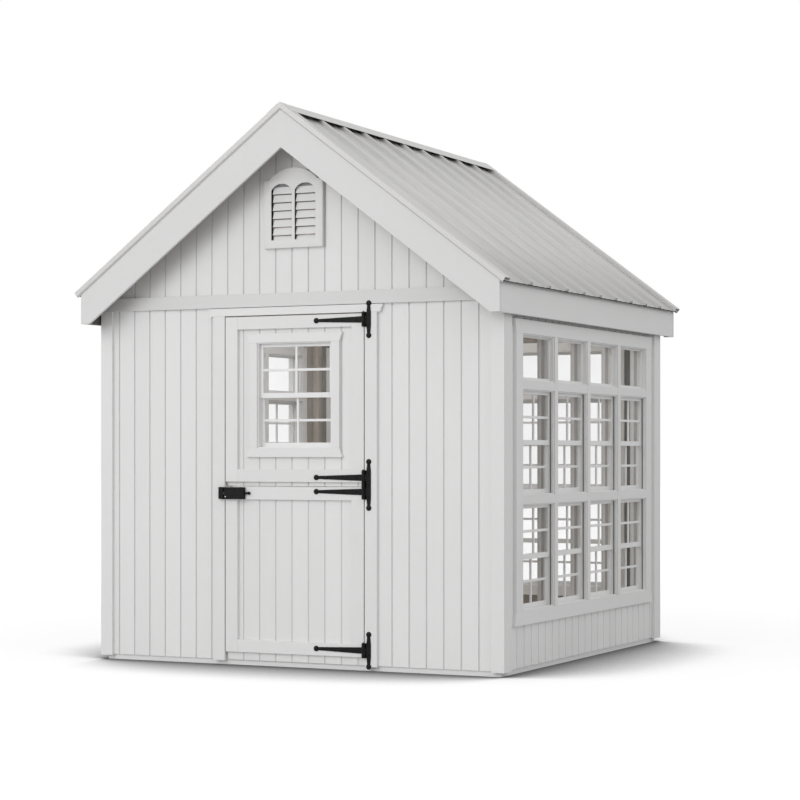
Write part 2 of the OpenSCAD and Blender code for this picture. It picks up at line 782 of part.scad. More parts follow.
module strap(z) {
    tip = pin_x - strap_l;
    difference() {
        union() {
            knuckle(z - strap_root_h / 2, z + strap_root_h / 2);
            across(-trim_face_l - strap_t, -trim_face_l) polygon([
                [pin_x, z - strap_root_h / 2], [pin_x, z + strap_root_h / 2],
                [tip, z + strap_tip_h / 2], [tip, z - strap_tip_h / 2]
            ]);
            flat_ball(tip, z);
        }
        translate([pin_x, pin_y, z - strap_root_h])
            cylinder(d = pin_dia + 2 * pin_clearance, h = 2 * strap_root_h);
    }
}

module upper_door_straps() color("dimgray") {
    strap(top_strap_z);
    strap(high_strap_z);
}

module lower_door_straps() color("dimgray") {
    strap(low_strap_z);
    strap(bottom_strap_z);
}

// A hinge plate's leaf with round ends above and below, between two heights
module plate_leaf(z0, z1, ball_low, ball_high) {
    block([pin_x + plate_start, -trim_face_l - strap_t, z0], [pin_x + plate_end, -trim_face_l, z1]);
    for (end = [[z0, ball_low], [z1, ball_high]])
        across(-trim_face_l - strap_t, -trim_face_l) translate([pin_x + plate_ball_x, 0])
            polygon([
                [-plate_neck_w / 2, end[0]], [plate_neck_w / 2, end[0]],
                [plate_neck_end_w / 2, end[1]], [-plate_neck_end_w / 2, end[1]]
            ]);
    flat_ball(pin_x + plate_ball_x, ball_low);
    flat_ball(pin_x + plate_ball_x, ball_high);
    translate([pin_x, pin_y, z0]) cylinder(d = pin_dia, h = z1 - z0);
}

module plate_knuckle(z0, z1) {
    knuckle(z0, z1);
    block([pin_x, -trim_face_l - strap_t, z0], [pin_x + plate_start, -trim_face_l, z1]);
}

module single_plate(z) {
    inner = strap_root_h / 2 + knuckle_gap;
    outer = inner + outer_knuckle_h;
    plate_leaf(z - outer, z + outer, z - plate_ball_rise, z + plate_ball_rise);
    plate_knuckle(z - outer, z - inner);
    plate_knuckle(z + inner, z + outer);
}

module double_plate(z0, z1) {
    inner = strap_root_h / 2 + knuckle_gap;
    outer = inner + outer_knuckle_h;
    plate_leaf(z0 - outer, z1 + outer, z0 - outer - double_plate_rise, z1 + outer + double_plate_rise);
    plate_knuckle(z0 - outer, z0 - inner);
    plate_knuckle(z0 + inner, z1 - inner);
    plate_knuckle(z1 + inner, z1 + outer);
}

module hinge_plates() color("dimgray") {
    single_plate(top_strap_z);
    double_plate(low_strap_z, high_strap_z);
    single_plate(bottom_strap_z);
}

// Latch: the case and bolt ride on the lower leaf, the keeper is on the casing
case_x = latch_edge - door_half;
bolt_x = case_x - latch_edge - 1;

module latch_case() color("dimgray") difference() {
    block([case_x, -trim_face_l - latch_d, latch_z - latch_h / 2],
          [case_x + latch_case_l, -trim_face_l, latch_z + latch_h / 2]);
    along(case_x - 1, case_x + latch_case_l + 1)
        translate([bolt_y, latch_z]) circle(d = bolt_dia + 2 * bolt_clearance);
}

module latch_bolt() color("gray") {
    tail = case_x + latch_case_l + bolt_travel + bolt_knob_gap + bolt_knob_l;
    along(bolt_x, tail) translate([bolt_y, latch_z]) circle(d = bolt_dia);
    along(tail - bolt_knob_l, tail) translate([bolt_y, latch_z]) circle(d = bolt_knob_dia);
}

// The keeper is a staple that the bolt slides behind
module latch_keeper() color("dimgray") difference() {
    slot_half = bolt_dia / 2 + keeper_clearance;
    block([-doorway_half - keeper_l, -trim_face_l - latch_d, latch_z - latch_h / 2],
          [-doorway_half, -trim_face_l, latch_z + latch_h / 2]);
    block([-doorway_half - 2 * keeper_l, bolt_y - slot_half, latch_z - slot_half],
          [-doorway_half + 1, -face_l, latch_z + slot_half]);
}

floor_frame();
floor_deck();
front_frame_sides();
front_frame_head();
back_frame();
left_frame();
right_frame();
front_siding_sides();
front_gable_siding();
back_siding();
back_gable_siding();
left_siding();
right_siding();
corner_boards();
gable_bands();
back_window_casing();
back_window_frames();
back_window_glass();
left_window_casing();
left_window_frames();
left_window_glass();
right_window_casing();
right_window_frames();
right_window_glass();
door_side_casings();
door_head_casing();
gable_vents();
rafters();
ridge_board();
eave_blocks();
roof_boards();
rake_boards();
eave_boards();
roof_sheets();
rake_trims();
ridge_cap();
upper_door_panel();
upper_door_trim();
upper_door_battens();
door_window_frame();
door_window_glass();
upper_door_straps();
lower_door_panel();
lower_door_trim();
lower_door_battens();
lower_door_straps();
hinge_plates();
latch_case();
latch_bolt();
latch_keeper();
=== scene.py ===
import math
import random

import bmesh
import bpy
import numpy as np
from mathutils import Matrix, Vector


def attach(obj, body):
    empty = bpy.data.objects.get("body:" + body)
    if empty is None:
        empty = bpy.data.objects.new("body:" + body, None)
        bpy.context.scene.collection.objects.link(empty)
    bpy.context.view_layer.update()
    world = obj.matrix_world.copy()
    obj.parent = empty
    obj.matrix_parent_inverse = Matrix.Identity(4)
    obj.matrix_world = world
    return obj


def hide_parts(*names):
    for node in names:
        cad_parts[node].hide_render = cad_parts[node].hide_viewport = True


# A garden greenhouse: painted board walls on a timber frame, window groups in three
# walls, a split entrance door and ribbed roof metal. Lengths are in metres. Walls are
# drawn as the front wall, with X along it and the outside at -Y, and turned to their side.

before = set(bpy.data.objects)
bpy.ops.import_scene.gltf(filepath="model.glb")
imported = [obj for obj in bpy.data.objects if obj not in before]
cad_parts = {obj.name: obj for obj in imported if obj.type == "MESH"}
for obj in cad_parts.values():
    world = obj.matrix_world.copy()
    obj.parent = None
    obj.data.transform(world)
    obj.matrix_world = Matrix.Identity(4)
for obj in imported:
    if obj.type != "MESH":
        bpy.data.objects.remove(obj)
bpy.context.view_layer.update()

# Main faces and heights, as in the solids
WALL = 1.219
SIDING_FACE = 1.231
TRIM_FACE = 1.250
BOARD = 0.019
STUD_DEEP = 0.064
STUD = 0.038
DECK_TOP = 0.108
DECK_THICK = 0.019
SIDING_FOOT = 0.030
TRIM_FOOT = 0.024
PLATE_TOP = 2.030
BAND_FOOT = 1.981
PITCH = 0.75
SLOPE = math.atan(PITCH)
SLOPE_LENGTH = math.sqrt(1 + PITCH * PITCH)
RAFTER_BOTTOM = 2.91425
RAFTER_TOP = 3.0255
BOARDS_TOP = 3.04925
EAVE_X = 1.2875
RAKE_IN = 1.3795
RAKE_FACE = 1.3985
RAKE_BOTTOM = 2.8305
EAVE_FOOT = 1.906
RIB_STEP = 0.261
SHEET_THICK = 0.0009

# Windows in the walls
GROUP_HALF = 0.989
GROUP_FOOT = 0.333
GROUP_TOP = 1.815
COLUMNS = 4
COLUMN_STEP = 0.506
PANE_WIDTH = 0.460
POST = 0.046
TALL = 0.568
LOW = 0.250
BAR = 0.048
ROW_STEP = TALL + BAR
SIDE_CASING = 0.092
RAIL_CASING = 0.076
FLARE = 0.018

# Doorway and door leaves
DOORWAY = 0.435
DOORWAY_TOP = 1.935
LEAF = 0.429
LEAF_TOP = 1.929
SPLIT_LOW = 0.989
SPLIT_HIGH = 0.995
DOOR_WINDOW = 0.230
DOOR_WINDOW_FOOT = 1.203
DOOR_WINDOW_TOP = 1.783
STOP = 0.420
DOOR_CASING = 0.072
LEAF_STILE = 0.075
LEAF_RAIL = 0.070
LEAF_BACK = 1.224
LEAF_GROOVE_DEEP = 0.004

# Vents
VENT_FOOT = 2.300
VENT_HOLE_FOOT = 2.344
VENT_HOLE_TOP = 2.653
VENT_HOLE_HALF = 0.137
VENT_HALF = 0.182
GABLE_STUD_STEP = 0.3

# Grooves between the boards of the siding
GROOVE_STEP = 0.1016
GROOVE_WIDE = 0.010
GROOVE_FLOOR = 0.005
GROOVE_DEEP = 0.006
FRONT_GROOVE = -0.019
SIDE_GROOVE = -0.017

TURNS = {"front": 0.0, "right": math.pi / 2, "back": math.pi, "left": -math.pi / 2}
POSTS = [(i - COLUMNS / 2) * COLUMN_STEP for i in range(1, COLUMNS)]


def link(thing):
    bpy.context.scene.collection.objects.link(thing)
    return thing


# Materials


class Nodes:
    """A node tree under construction. A value given for a socket is set or wired."""

    def __init__(self, tree):
        self.tree = tree

    def wire(self, value, socket):
        if isinstance(value, bpy.types.NodeSocket):
            self.tree.links.new(value, socket)
        else:
            socket.default_value = value

    def add(self, kind, sockets=None, **settings):
        made = self.tree.nodes.new(kind)
        for setting, value in settings.items():
            setattr(made, setting, value)
        for socket, value in (sockets or {}).items():
            self.wire(value, made.inputs[socket])
        return made

    def math(self, operation, *values):
        return self.add("ShaderNodeMath", dict(enumerate(values)), operation=operation).outputs[0]

    def vector(self, operation, *values):
        made = self.add("ShaderNodeVectorMath", dict(enumerate(values)), operation=operation)
        return made.outputs[0]

    def noise(self, place, scale, detail=3.0, roughness=0.5):
        sockets = {"Vector": place, "Scale": scale, "Detail": detail, "Roughness": roughness}
        return self.add("ShaderNodeTexNoise", sockets).outputs["Fac"]

    def stretched(self, place, by, detail, roughness=0.5):
        """Noise that is drawn out along the directions whose factor is small."""
        return self.noise(self.vector("MULTIPLY", place, by), 1.0, detail, roughness)

    def weighed(self, first, share, second, other_share):
        parts = [self.math("MULTIPLY", first, share), self.math("MULTIPLY", second, other_share)]
        return self.math("ADD", *parts)

    def mix(self, share, first, second):
        made = self.add("ShaderNodeMix", data_type="RGBA")
        self.wire(share, made.inputs[0])
        self.wire(first, made.inputs[6])
        self.wire(second, made.inputs[7])
        return made.outputs[2]

    def spread(self, value, low, high, new_low, new_high):
        sockets = {"Value": value, "From Min": low, "From Max": high, "To Min": new_low, "To Max": new_high}
        return self.add("ShaderNodeMapRange", sockets).outputs[0]

    def bump(self, height, strength, distance, below=None):
        sockets = {"Height": height, "Strength": strength, "Distance": distance}
        if below is not None:
            sockets["Normal"] = below
        return self.add("ShaderNodeBump", sockets).outputs[0]

    def grain(self):
        return self.add("ShaderNodeAttribute", attribute_name="grain").outputs["Vector"]

    def shade(self):
        return self.add("ShaderNodeAttribute", attribute_name="shade").outputs["Fac"]

    def place(self):
        return self.add("ShaderNodeTexCoord").outputs["Object"]


def finish_of(name, roughness, metallic=0.0):
    """A new material, its nodes and its shader."""
    material = bpy.data.materials.new(name)
    material.use_nodes = True
    shader = material.node_tree.nodes["Principled BSDF"]
    shader.inputs["Roughness"].default_value = roughness
    shader.inputs["Metallic"].default_value = metallic
    return material, Nodes(material.node_tree), shader


def grey(value, warm=0.0):
    return (value * (1 + warm), value, value * (1 - warm), 1.0)


def lay_on(nodes, shader, colour, roughness, normal=None):
    """Wires a finish's colour, roughness and relief to its shader."""
    nodes.wire(colour, shader.inputs["Base Color"])
    nodes.wire(roughness, shader.inputs["Roughness"])
    if normal is not None:
        nodes.wire(normal, shader.inputs["Normal"])


def white_paint(name, low, high, roughness=0.55):
    """Matt white paint on boards, with a little grain and brush marks showing."""
    material, nodes, shader = finish_of(name, roughness)
    long_grain = nodes.stretched(nodes.grain(), (2.5, 70.0, 70.0), 4.0, 0.6)
    share = nodes.weighed(nodes.shade(), 0.45, nodes.noise(nodes.place(), 2.2, 3.0), 0.55)
    colour = nodes.mix(share, grey(low, 0.004), grey(high, 0.002))
    dust = nodes.spread(long_grain, 0.3, 0.7, 0.97, 1.0)
    colour = nodes.mix(dust, grey(low * 0.82, 0.02), colour)
    gloss = nodes.spread(long_grain, 0.3, 0.7, roughness - 0.05, roughness + 0.08)
    lay_on(nodes, shader, colour, gloss, nodes.bump(long_grain, 0.16, 0.0007))
    return material


def siding_paint(name, low, high, roughness=0.6):
    """White paint on grooved boards: each board has its own tone and grain, and painted shade
    darkens the grooves."""
    material, nodes, shader = finish_of(name, roughness)
    grain = nodes.grain()
    across = nodes.add("ShaderNodeSeparateXYZ", {0: grain}).outputs["Y"]
    board = nodes.math("FLOOR", nodes.math("DIVIDE", across, GROOVE_STEP))
    own = nodes.add("ShaderNodeTexWhiteNoise", {"W": board}, noise_dimensions="1D")
    shifted = nodes.vector("ADD", grain, nodes.vector("MULTIPLY", own.outputs["Color"], (9.0, 0.0, 5.0)))
    long_grain = nodes.stretched(shifted, (3.0, 95.0, 95.0), 5.0, 0.62)
    share = nodes.weighed(own.outputs["Value"], 0.4, nodes.noise(nodes.place(), 1.7, 3.0), 0.6)
    colour = nodes.mix(share, grey(low, 0.003), grey(high, 0.002))
    dust = nodes.spread(long_grain, 0.3, 0.7, 0.95, 1.0)
    colour = nodes.mix(dust, grey(low * 0.8, 0.02), colour)
    # Painted shade: the groove floors are mixed towards a dark grey, standing in for the shade in the
    # grooves
    off_groove = nodes.math("PINGPONG", across, GROOVE_STEP / 2)
    clean = nodes.spread(off_groove, GROOVE_FLOOR / 2, GROOVE_WIDE / 2, 0.76, 1.0)
    colour = nodes.mix(clean, grey(low * 0.42, 0.01), colour)
    gloss = nodes.spread(long_grain, 0.3, 0.7, roughness - 0.05, roughness + 0.1)
    lay_on(nodes, shader, colour, gloss, nodes.bump(long_grain, 0.22, 0.0009))
    return material


def softwood(name, dark, light, roughness=0.7):
    """Unpainted softwood with year rings, fibres and a tone for each board."""
    material, nodes, shader = finish_of(name, roughness)
    grain = nodes.grain()
    slow = nodes.stretched(grain, (0.8, 6.0, 6.0), 2.0)
    rings_place = nodes.vector("MULTIPLY", grain, (0.35, 28.0, 28.0))
    warped = nodes.vector("ADD", rings_place, nodes.vector("MULTIPLY", slow, (2.0, 5.0, 5.0)))
    rings = nodes.noise(warped, 1.0, 2.0, 0.55)
    fibres = nodes.stretched(grain, (4.0, 260.0, 260.0), 3.0, 0.6)
    share = nodes.weighed(nodes.weighed(rings, 0.6, nodes.shade(), 0.25), 1.0, fibres, 0.25)
    colour = nodes.mix(nodes.spread(share, 0.3, 0.85, 0.0, 1.0), dark, light)
    gloss = nodes.spread(fibres, 0.3, 0.7, roughness - 0.08, roughness + 0.08)
    lay_on(nodes, shader, colour, gloss, nodes.bump(fibres, 0.3, 0.0006))
    return material


def roof_paint(name, low, high, roughness=0.42):
    """Pale satin paint on sheet metal, with faint streaks down the slope."""
    material, nodes, shader = finish_of(name, roughness, 0.15)
    place = nodes.place()
    streaks = nodes.stretched(place, (0.6, 14.0, 0.6), 4.0, 0.55)
    patches = nodes.noise(place, 3.0, 3.0)
    share = nodes.weighed(streaks, 0.5, patches, 0.5)
    colour = nodes.mix(nodes.spread(share, 0.35, 0.65, 0.0, 1.0), grey(low, 0.012), grey(high, 0.008))
    gloss = nodes.spread(patches, 0.3, 0.7, roughness - 0.06, roughness + 0.08)
    dents = nodes.bump(nodes.noise(place, 5.0, 1.0), 0.12, 0.01)
    lay_on(nodes, shader, colour, gloss, nodes.bump(nodes.noise(place, 420.0, 2.0), 0.05, 0.0003, dents))
    return material


def matt_black(name, low=0.004, high=0.011):
    """Black powder coat or rubber: a fine pebbled skin, a little paler where it is touched."""
    material, nodes, shader = finish_of(name, 0.5)
    place = nodes.place()
    rubbed = nodes.noise(place, 35.0, 4.0, 0.6)
    colour = nodes.mix(nodes.spread(rubbed, 0.35, 0.75, 0.0, 1.0), grey(low), grey(high, 0.01))
    shader.inputs["Specular IOR Level"].default_value = 0.16
    pebbles = nodes.bump(nodes.noise(place, 900.0, 2.0), 0.25, 0.0004)
    lay_on(nodes, shader, colour, nodes.spread(rubbed, 0.3, 0.7, 0.42, 0.6), pebbles)
    return material


def window_paint(name, low=0.78, high=0.84):
    """Satin paint on slender window frames."""
    material, nodes, shader = finish_of(name, 0.38)
    place = nodes.place()
    patches = nodes.noise(place, 7.0, 3.0)
    gloss = nodes.spread(patches, 0.3, 0.7, 0.34, 0.46)
    skin = nodes.bump(nodes.noise(place, 300.0, 2.0), 0.04, 0.0003)
    lay_on(nodes, shader, nodes.mix(patches, grey(low), grey(high)), gloss, skin)
    return material


def clear_glass(name):
    """Thin clear glass with a faint film of dust."""
    material, nodes, shader = finish_of(name, 0.03)
    film = nodes.noise(nodes.place(), 4.0, 4.0)
    tint = nodes.mix(film, (0.74, 0.78, 0.77, 1.0), (0.84, 0.87, 0.86, 1.0))
    lay_on(nodes, shader, tint, nodes.spread(film, 0.3, 0.7, 0.02, 0.05))
    nodes.wire(nodes.spread(film, 0.3, 0.7, 0.05, 0.08), shader.inputs["Alpha"])
    return material


def bright_steel(name, tone, roughness):
    """Plain zinc-plated steel for small fixings and wire."""
    material, nodes, shader = finish_of(name, roughness, 0.8)
    specks = nodes.noise(nodes.place(), 160.0, 3.0)
    lay_on(nodes, shader, nodes.mix(specks, grey(tone * 0.8), grey(tone * 1.1)),
           nodes.spread(specks, 0.3, 0.7, roughness - 0.08, roughness + 0.08))
    return material


trim_white = white_paint("white_painted_trim", 0.74, 0.80)
# Painted shade: a darker copy of the white trim paint, for the rake and gable band boards high up
shaded_rake_white = white_paint("shaded_white_painted_rakes", 0.665, 0.725)
siding_white = siding_paint("white_painted_siding", 0.75, 0.83)
window_white = window_paint("white_painted_windows")
# Partly painted shade: a grey copy of the window paint for the jamb tracks, darker to stand in for shade in
# the jambs
shaded_track_grey = window_paint("shaded_grey_sash_tracks", 0.42, 0.48)
stud_wood = softwood("framing_softwood", (0.46, 0.38, 0.30, 1), (0.80, 0.71, 0.60, 1))
siding_back = softwood("siding_back", (0.20, 0.165, 0.135, 1), (0.46, 0.39, 0.325, 1), 0.8)
deck_wood = softwood("deck_softwood", (0.50, 0.41, 0.32, 1), (0.82, 0.73, 0.61, 1), 0.65)
roof_metal = roof_paint("pale_roof_metal", 0.585, 0.665)
trim_metal = roof_paint("white_edge_metal", 0.60, 0.66, 0.55)
black_iron = matt_black("black_powder_coat")
pane_glass = clear_glass("window_glass")
screw_steel = bright_steel("plated_steel", 0.62, 0.4)
# Painted shade: dark unpainted wood for the inward faces of the rake and eave boards, standing in for the
# shade under the roof
eave_shade_wood = softwood("shade_darkened_softwood", (0.09, 0.082, 0.074, 1), (0.20, 0.185, 0.165, 1), 0.8)
# Painted shadow: black for the strip under the roof sheet's lower edge
eave_shadow_strip = matt_black("eave_shadow_strip", 0.02, 0.04)
# Partly painted shade: grey seals in the window jambs, darker to stand in for the shaded gap between sash
# and jamb
shaded_seal_rubber = matt_black("grey_shaded_seal_rubber", 0.15, 0.20)
# Painted shade: a grey board in the arch tops of the vents, standing in for the shadow under the arches
vent_shade_board = white_paint("grey_vent_felt", 0.22, 0.28, 0.8)
screen_wire = bright_steel("dark_screen_wire", 0.05, 0.6)


# Boards


class Joinery:
    """Separate boards of one piece, each with its own grain direction and tone."""

    def __init__(self, seed, turn=0.0):
        self.draw = random.Random(seed)
        self.turn = Matrix.Rotation(turn, 3, "Z")
        self.points = []
        self.faces = []
        self.finishes = []
        self.grain = []
        self.shade = []

    def add(self, points, faces, along, finishes=None, own_grain=True):
        """One closed board. Along is its grain; own_grain gives it a place and tone of its own."""
        along = Vector(along).normalized()
        side = Vector((0, 0, 1)) if abs(along.z) < 0.9 else Vector((1, 0, 0))
        side = (side - along * side.dot(along)).normalized()
        other = along.cross(side)
        start = Vector([self.draw.uniform(0, 40) for _ in range(3)]) if own_grain else Vector((0, 0, 0))
        tone = self.draw.random()
        first = len(self.points)
        for point in map(Vector, points):
            self.points.append(self.turn @ point)
            self.grain.append(start + Vector((point.dot(along), point.dot(side), point.dot(other))))
            self.shade.append(tone)
        self.faces += [[first + corner for corner in face] for face in faces]
        self.finishes += finishes or [0] * len(faces)

    def prism(self, outline, low, high, axis="Y", along=None, finishes=None):
        """An outline made solid along an axis. It lies in (Y, Z), (X, Z) or (X, Y)."""
        order = {"X": (2, 0, 1), "Y": (0, 2, 1), "Z": (0, 1, 2)}[axis]
        points = []
        for level in (low, high):
            for first, second in outline:
                given = (first, second, level)
                points.append([given[i] for i in order])
        count = len(outline)
        faces = [list(range(count))[::-1], list(range(count, 2 * count))]
        for i in range(count):
            after = (i + 1) % count
            faces.append([i, after, after + count, i + count])
        if along is None:
            size = [max(p[i] for p in points) - min(p[i] for p in points) for i in range(3)]
            along = [1.0 if i == size.index(max(size)) else 0.0 for i in range(3)]
        self.add(points, faces, along, finishes)

    def box(self, low, high):
        outline = [(low[0], low[1]), (high[0], low[1]), (high[0], high[1]), (low[0], high[1])]
        self.prism(outline, low[2], high[2], "Z")

    def pair(self, near, far, low, high):
        """Two boxes, left and right of X 0. Low and high hold their corners' Y and Z."""
        for side in (-1, 1):
            x = sorted((side * near, side * far))
            self.box((x[0], *low), (x[1], *high))

    def copied(self, mesh):
        """The islands of a mesh, each as one board whose grain runs along it."""
        work = bmesh.new()
        work.from_mesh(mesh)
        bmesh.ops.remove_doubles(work, verts=work.verts, dist=1e-5)
        bmesh.ops.dissolve_limit(work, angle_limit=math.radians(0.5), verts=work.verts, edges=work.edges)
        seen = set()
        for seed in work.verts:
            if seed in seen:
                continue
            island, queue = [], [seed]
            seen.add(seed)
            while queue:
                vert = queue.pop()
                island.append(vert)
                for edge in vert.link_edges:
                    far = edge.other_vert(vert)
                    if far not in seen:
                        seen.add(far)
                        queue.append(far)
            place = np.array([v.co for v in island])
            along = np.linalg.svd(place - place.mean(0), full_matrices=False)[2][0]
            index = {vert: i for i, vert in enumerate(island)}
            faces = {face for vert in island for face in vert.link_faces}
            faces = sorted(faces, key=lambda face: face.index)
            self.add(place.tolist(), [[index[v] for v in face.verts] for face in faces], along)
        work.free()
        return self

    def mesh(self):
        made = bpy.data.meshes.new("boards")
        made.from_pydata([tuple(p) for p in self.points], [], self.faces)
        made.polygons.foreach_set("material_index", self.finishes)
        grain = made.attributes.new("grain", "FLOAT_VECTOR", "POINT")
        grain.data.foreach_set("vector", [value for g in self.grain for value in g])
        shade = made.attributes.new("shade", "FLOAT", "POINT")
        shade.data.foreach_set("value", self.shade)
        outward(made)
        return made


def outward(mesh, merge=0.0):
    """Faces of closed shells are turned to point outwards, after points this close are merged."""
    work = bmesh.new()
    work.from_mesh(mesh)
    if merge:
        bmesh.ops.remove_doubles(work, verts=work.verts, dist=merge)
    bmesh.ops.recalc_face_normals(work, faces=work.faces)
    work.to_mesh(mesh)
    work.free()


def sharp_mitres(mesh):
    """Marks every edge for rounding but those of the mitres over the ridge."""
    weights = mesh.attributes.new("bevel_weight_edge", "FLOAT", "EDGE")
    for edge in mesh.edges:
        at_ridge = all(abs(mesh.vertices[v].co.x) < 1e-4 for v in edge.vertices)
        weights.data[edge.index].value = 0.0 if at_ridge else 1.0


def shaded_raw_backs(mesh):
    """Gives the faces that look inwards, to the building's middle, the second finish, a dark wood that
    paints in the shade under the roof.
    """
    for face in mesh.polygons:
        inward = [face.normal[i] * face.center[i] < 0 and abs(face.normal[i]) > 0.9 for i in (0, 1)]
        if any(inward):
            face.material_index = 1


def piece(name, mesh, body, materials, stands_for=(), bevel=0.0, smooth=None):
    """Puts a mesh in the scene as a piece that rides on a body."""
    mesh.name = name
    thing = link(bpy.data.objects.new(name, mesh))
    for material in materials:
        thing.data.materials.append(material)
    if smooth is not None:
        mesh.shade_smooth()
        mesh.set_sharp_from_angle(angle=math.radians(smooth))
    if bevel:
        rounding = thing.modifiers.new("rounded_edges", "BEVEL")
        rounding.width = bevel
        rounding.segments = 2
        rounding.limit_method = "WEIGHT" if "bevel_weight_edge" in mesh.attributes else "ANGLE"
        rounding.angle_limit = math.radians(30)
        rounding.use_clamp_overlap = False
    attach(thing, body)
    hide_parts(*stands_for)
    return thing


def dressed(name, node, body, material, bevel, seed):
    """Boards copied from a solid that already has the right shape, with rounded edges."""
    work = Joinery(seed).copied(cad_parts[node].data)
    piece(name, work.mesh(), body, [material], [node], bevel)


# Geometry Nodes: trees that repeat a unit or follow a rule


def new_tree(name, inputs):
    tree = bpy.data.node_groups.new(name, "GeometryNodeTree")
    for label, kind, value in inputs:
        socket = tree.interface.new_socket(label, in_out="INPUT", socket_type="NodeSocket" + kind)
        if value is not None:
            socket.default_value = value
    tree.interface.new_socket("Geometry", in_out="OUTPUT", socket_type="NodeSocketGeometry")
    nodes = Nodes(tree)
    return tree, nodes, nodes.add("NodeGroupInput").outputs


def end_tree(nodes, geometry, material):
    realized = nodes.add("GeometryNodeRealizeInstances", {0: geometry})
    painted = nodes.add("GeometryNodeSetMaterial", {"Geometry": realized.outputs[0], "Material": material})
    nodes.add("NodeGroupOutput", {0: painted.outputs[0]})


def grown(tree, values):
    """The mesh that a tree makes with these inputs."""
    carrier = link(bpy.data.objects.new("carrier", bpy.data.meshes.new("carrier")))
    rule = carrier.modifiers.new("rule", "NODES")
    rule.node_group = tree
    for item in tree.interface.items_tree:
        if item.item_type == "SOCKET" and item.in_out == "INPUT" and item.name in values:
            rule[item.identifier] = values[item.name]
    graph = bpy.context.evaluated_depsgraph_get()
    mesh = bpy.data.meshes.new_from_object(carrier.evaluated_get(graph), depsgraph=graph)
    carrier.modifiers.remove(rule)
    bpy.data.objects.remove(carrier)
    return mesh


def rows_tree():
    """Repeats a unit in columns and rows, then turns and places the lot."""
    tree, nodes, given = new_tree("units_in_rows", [
        ("Unit", "Object", None), ("Columns", "Int", 4), ("Column Step", "Vector", (1, 0, 0)),
        ("Rows", "Int", 1), ("Row Step", "Vector", (0, 0, 1)), ("First", "Vector", (0, 0, 0)),
        ("Turn", "Vector", (0, 0, 0)), ("Place", "Vector", (0, 0, 0)), ("Material", "Material", None)])
    columns = nodes.add("GeometryNodeMeshLine", {
        "Count": given["Columns"], "Start Location": given["First"], "Offset": given["Column Step"]})
    rows = nodes.add("GeometryNodeMeshLine", {"Count": given["Rows"], "Offset": given["Row Step"]})
    posts = nodes.add("GeometryNodeInstanceOnPoints", {
        "Points": columns.outputs[0], "Instance": rows.outputs[0]})
    points = nodes.add("GeometryNodeRealizeInstances", {0: posts.outputs[0]})
    unit = nodes.add("GeometryNodeObjectInfo", {"Object": given["Unit"]})
    copies = nodes.add("GeometryNodeInstanceOnPoints", {
        "Points": points.outputs[0], "Instance": unit.outputs["Geometry"]})
    turned = nodes.add("GeometryNodeTransform", {
        "Geometry": copies.outputs[0], "Translation": given["Place"], "Rotation": given["Turn"]})
    end_tree(nodes, turned.outputs[0], given["Material"])
    return tree


UNITS_IN_ROWS = rows_tree()


def repeated(unit, material, columns=1, step=(1, 0, 0), rows=1, row_step=(0, 0, 1), first=(0, 0, 0),
             turn=(0, 0, 0), place=(0, 0, 0)):
    """A unit mesh repeated by the rows tree."""
    holder = link(bpy.data.objects.new("unit", unit))
    mesh = grown(UNITS_IN_ROWS, {
        "Unit": holder, "Columns": columns, "Column Step": step, "Rows": rows, "Row Step": row_step,
        "First": first, "Turn": turn, "Place": place, "Material": material})
    bpy.data.objects.remove(holder)
    mesh.materials.clear()
    return mesh


def joined(meshes):
    """Several meshes as one, with their attributes kept."""
    work = bmesh.new()
    for mesh in meshes:
        work.from_mesh(mesh)
    made = bpy.data.meshes.new("joined")
    work.to_mesh(made)
    work.free()
    return made


# Floor


def floor_pieces():
    """Joists between painted rims, and the deck's boards across them."""
    rims, joists = Joinery(11), Joinery(13)
    top = DECK_TOP - DECK_THICK
    for side in (-1, 1):
        y = sorted((side * WALL, side * (WALL - STUD)))
        rims.box((-WALL, y[0], 0), (WALL, y[1], top))
    bays = 8
    for i in range(bays + 1):
        x = (i - bays / 2) * (2 * WALL - STUD) / bays
        work = rims if i in (0, bays) else joists
        work.box((x - STUD / 2, -WALL + STUD, 0), (x + STUD / 2, WALL - STUD, top))
    piece("floor_joists", joists.mesh(), "house", [stud_wood], ["floor_frame"], 0.002)
    piece("floor_rims", rims.mesh(), "house", [trim_white], (), 0.002)
    deck = Joinery(12)
    count, gap = 17, 0.0015
    wide = 2 * WALL / count
    for i in range(count):
        low = -WALL + i * wide
        deck.box((-WALL, low + gap, top), (WALL, low + wide - gap, DECK_TOP))
    piece("floor_deck_boards", deck.mesh(), "house", [deck_wood], ["floor_deck"], 0.0025)


# Framing of the walls


def rail(work, x0, x1, low, high):
    work.box((x0, -WALL, low), (x1, -WALL + STUD_DEEP, high))


def stud(work, x, low, high):
    rail(work, x - STUD / 2, x + STUD / 2, low, high)


def gable_framing(work):
    """Studs of a gable on both sides of its vent, and the rail under the vent."""
    inner = VENT_HALF
    while inner + STUD / 2 < WALL - STUD_DEEP - STUD / 2:
        for side in (-1, 1):
            near, far = inner, inner + STUD
            outline = [(near, PLATE_TOP), (far, PLATE_TOP),
                       (far, RAFTER_BOTTOM - PITCH * far), (near, RAFTER_BOTTOM - PITCH * near)]
            work.prism([(side * x, z) for x, z in outline], -WALL, -WALL + STUD_DEEP, "Y", (0, 0, 1))
        inner += GABLE_STUD_STEP
    rail(work, -VENT_HALF, VENT_HALF, VENT_FOOT - STUD, VENT_FOOT)


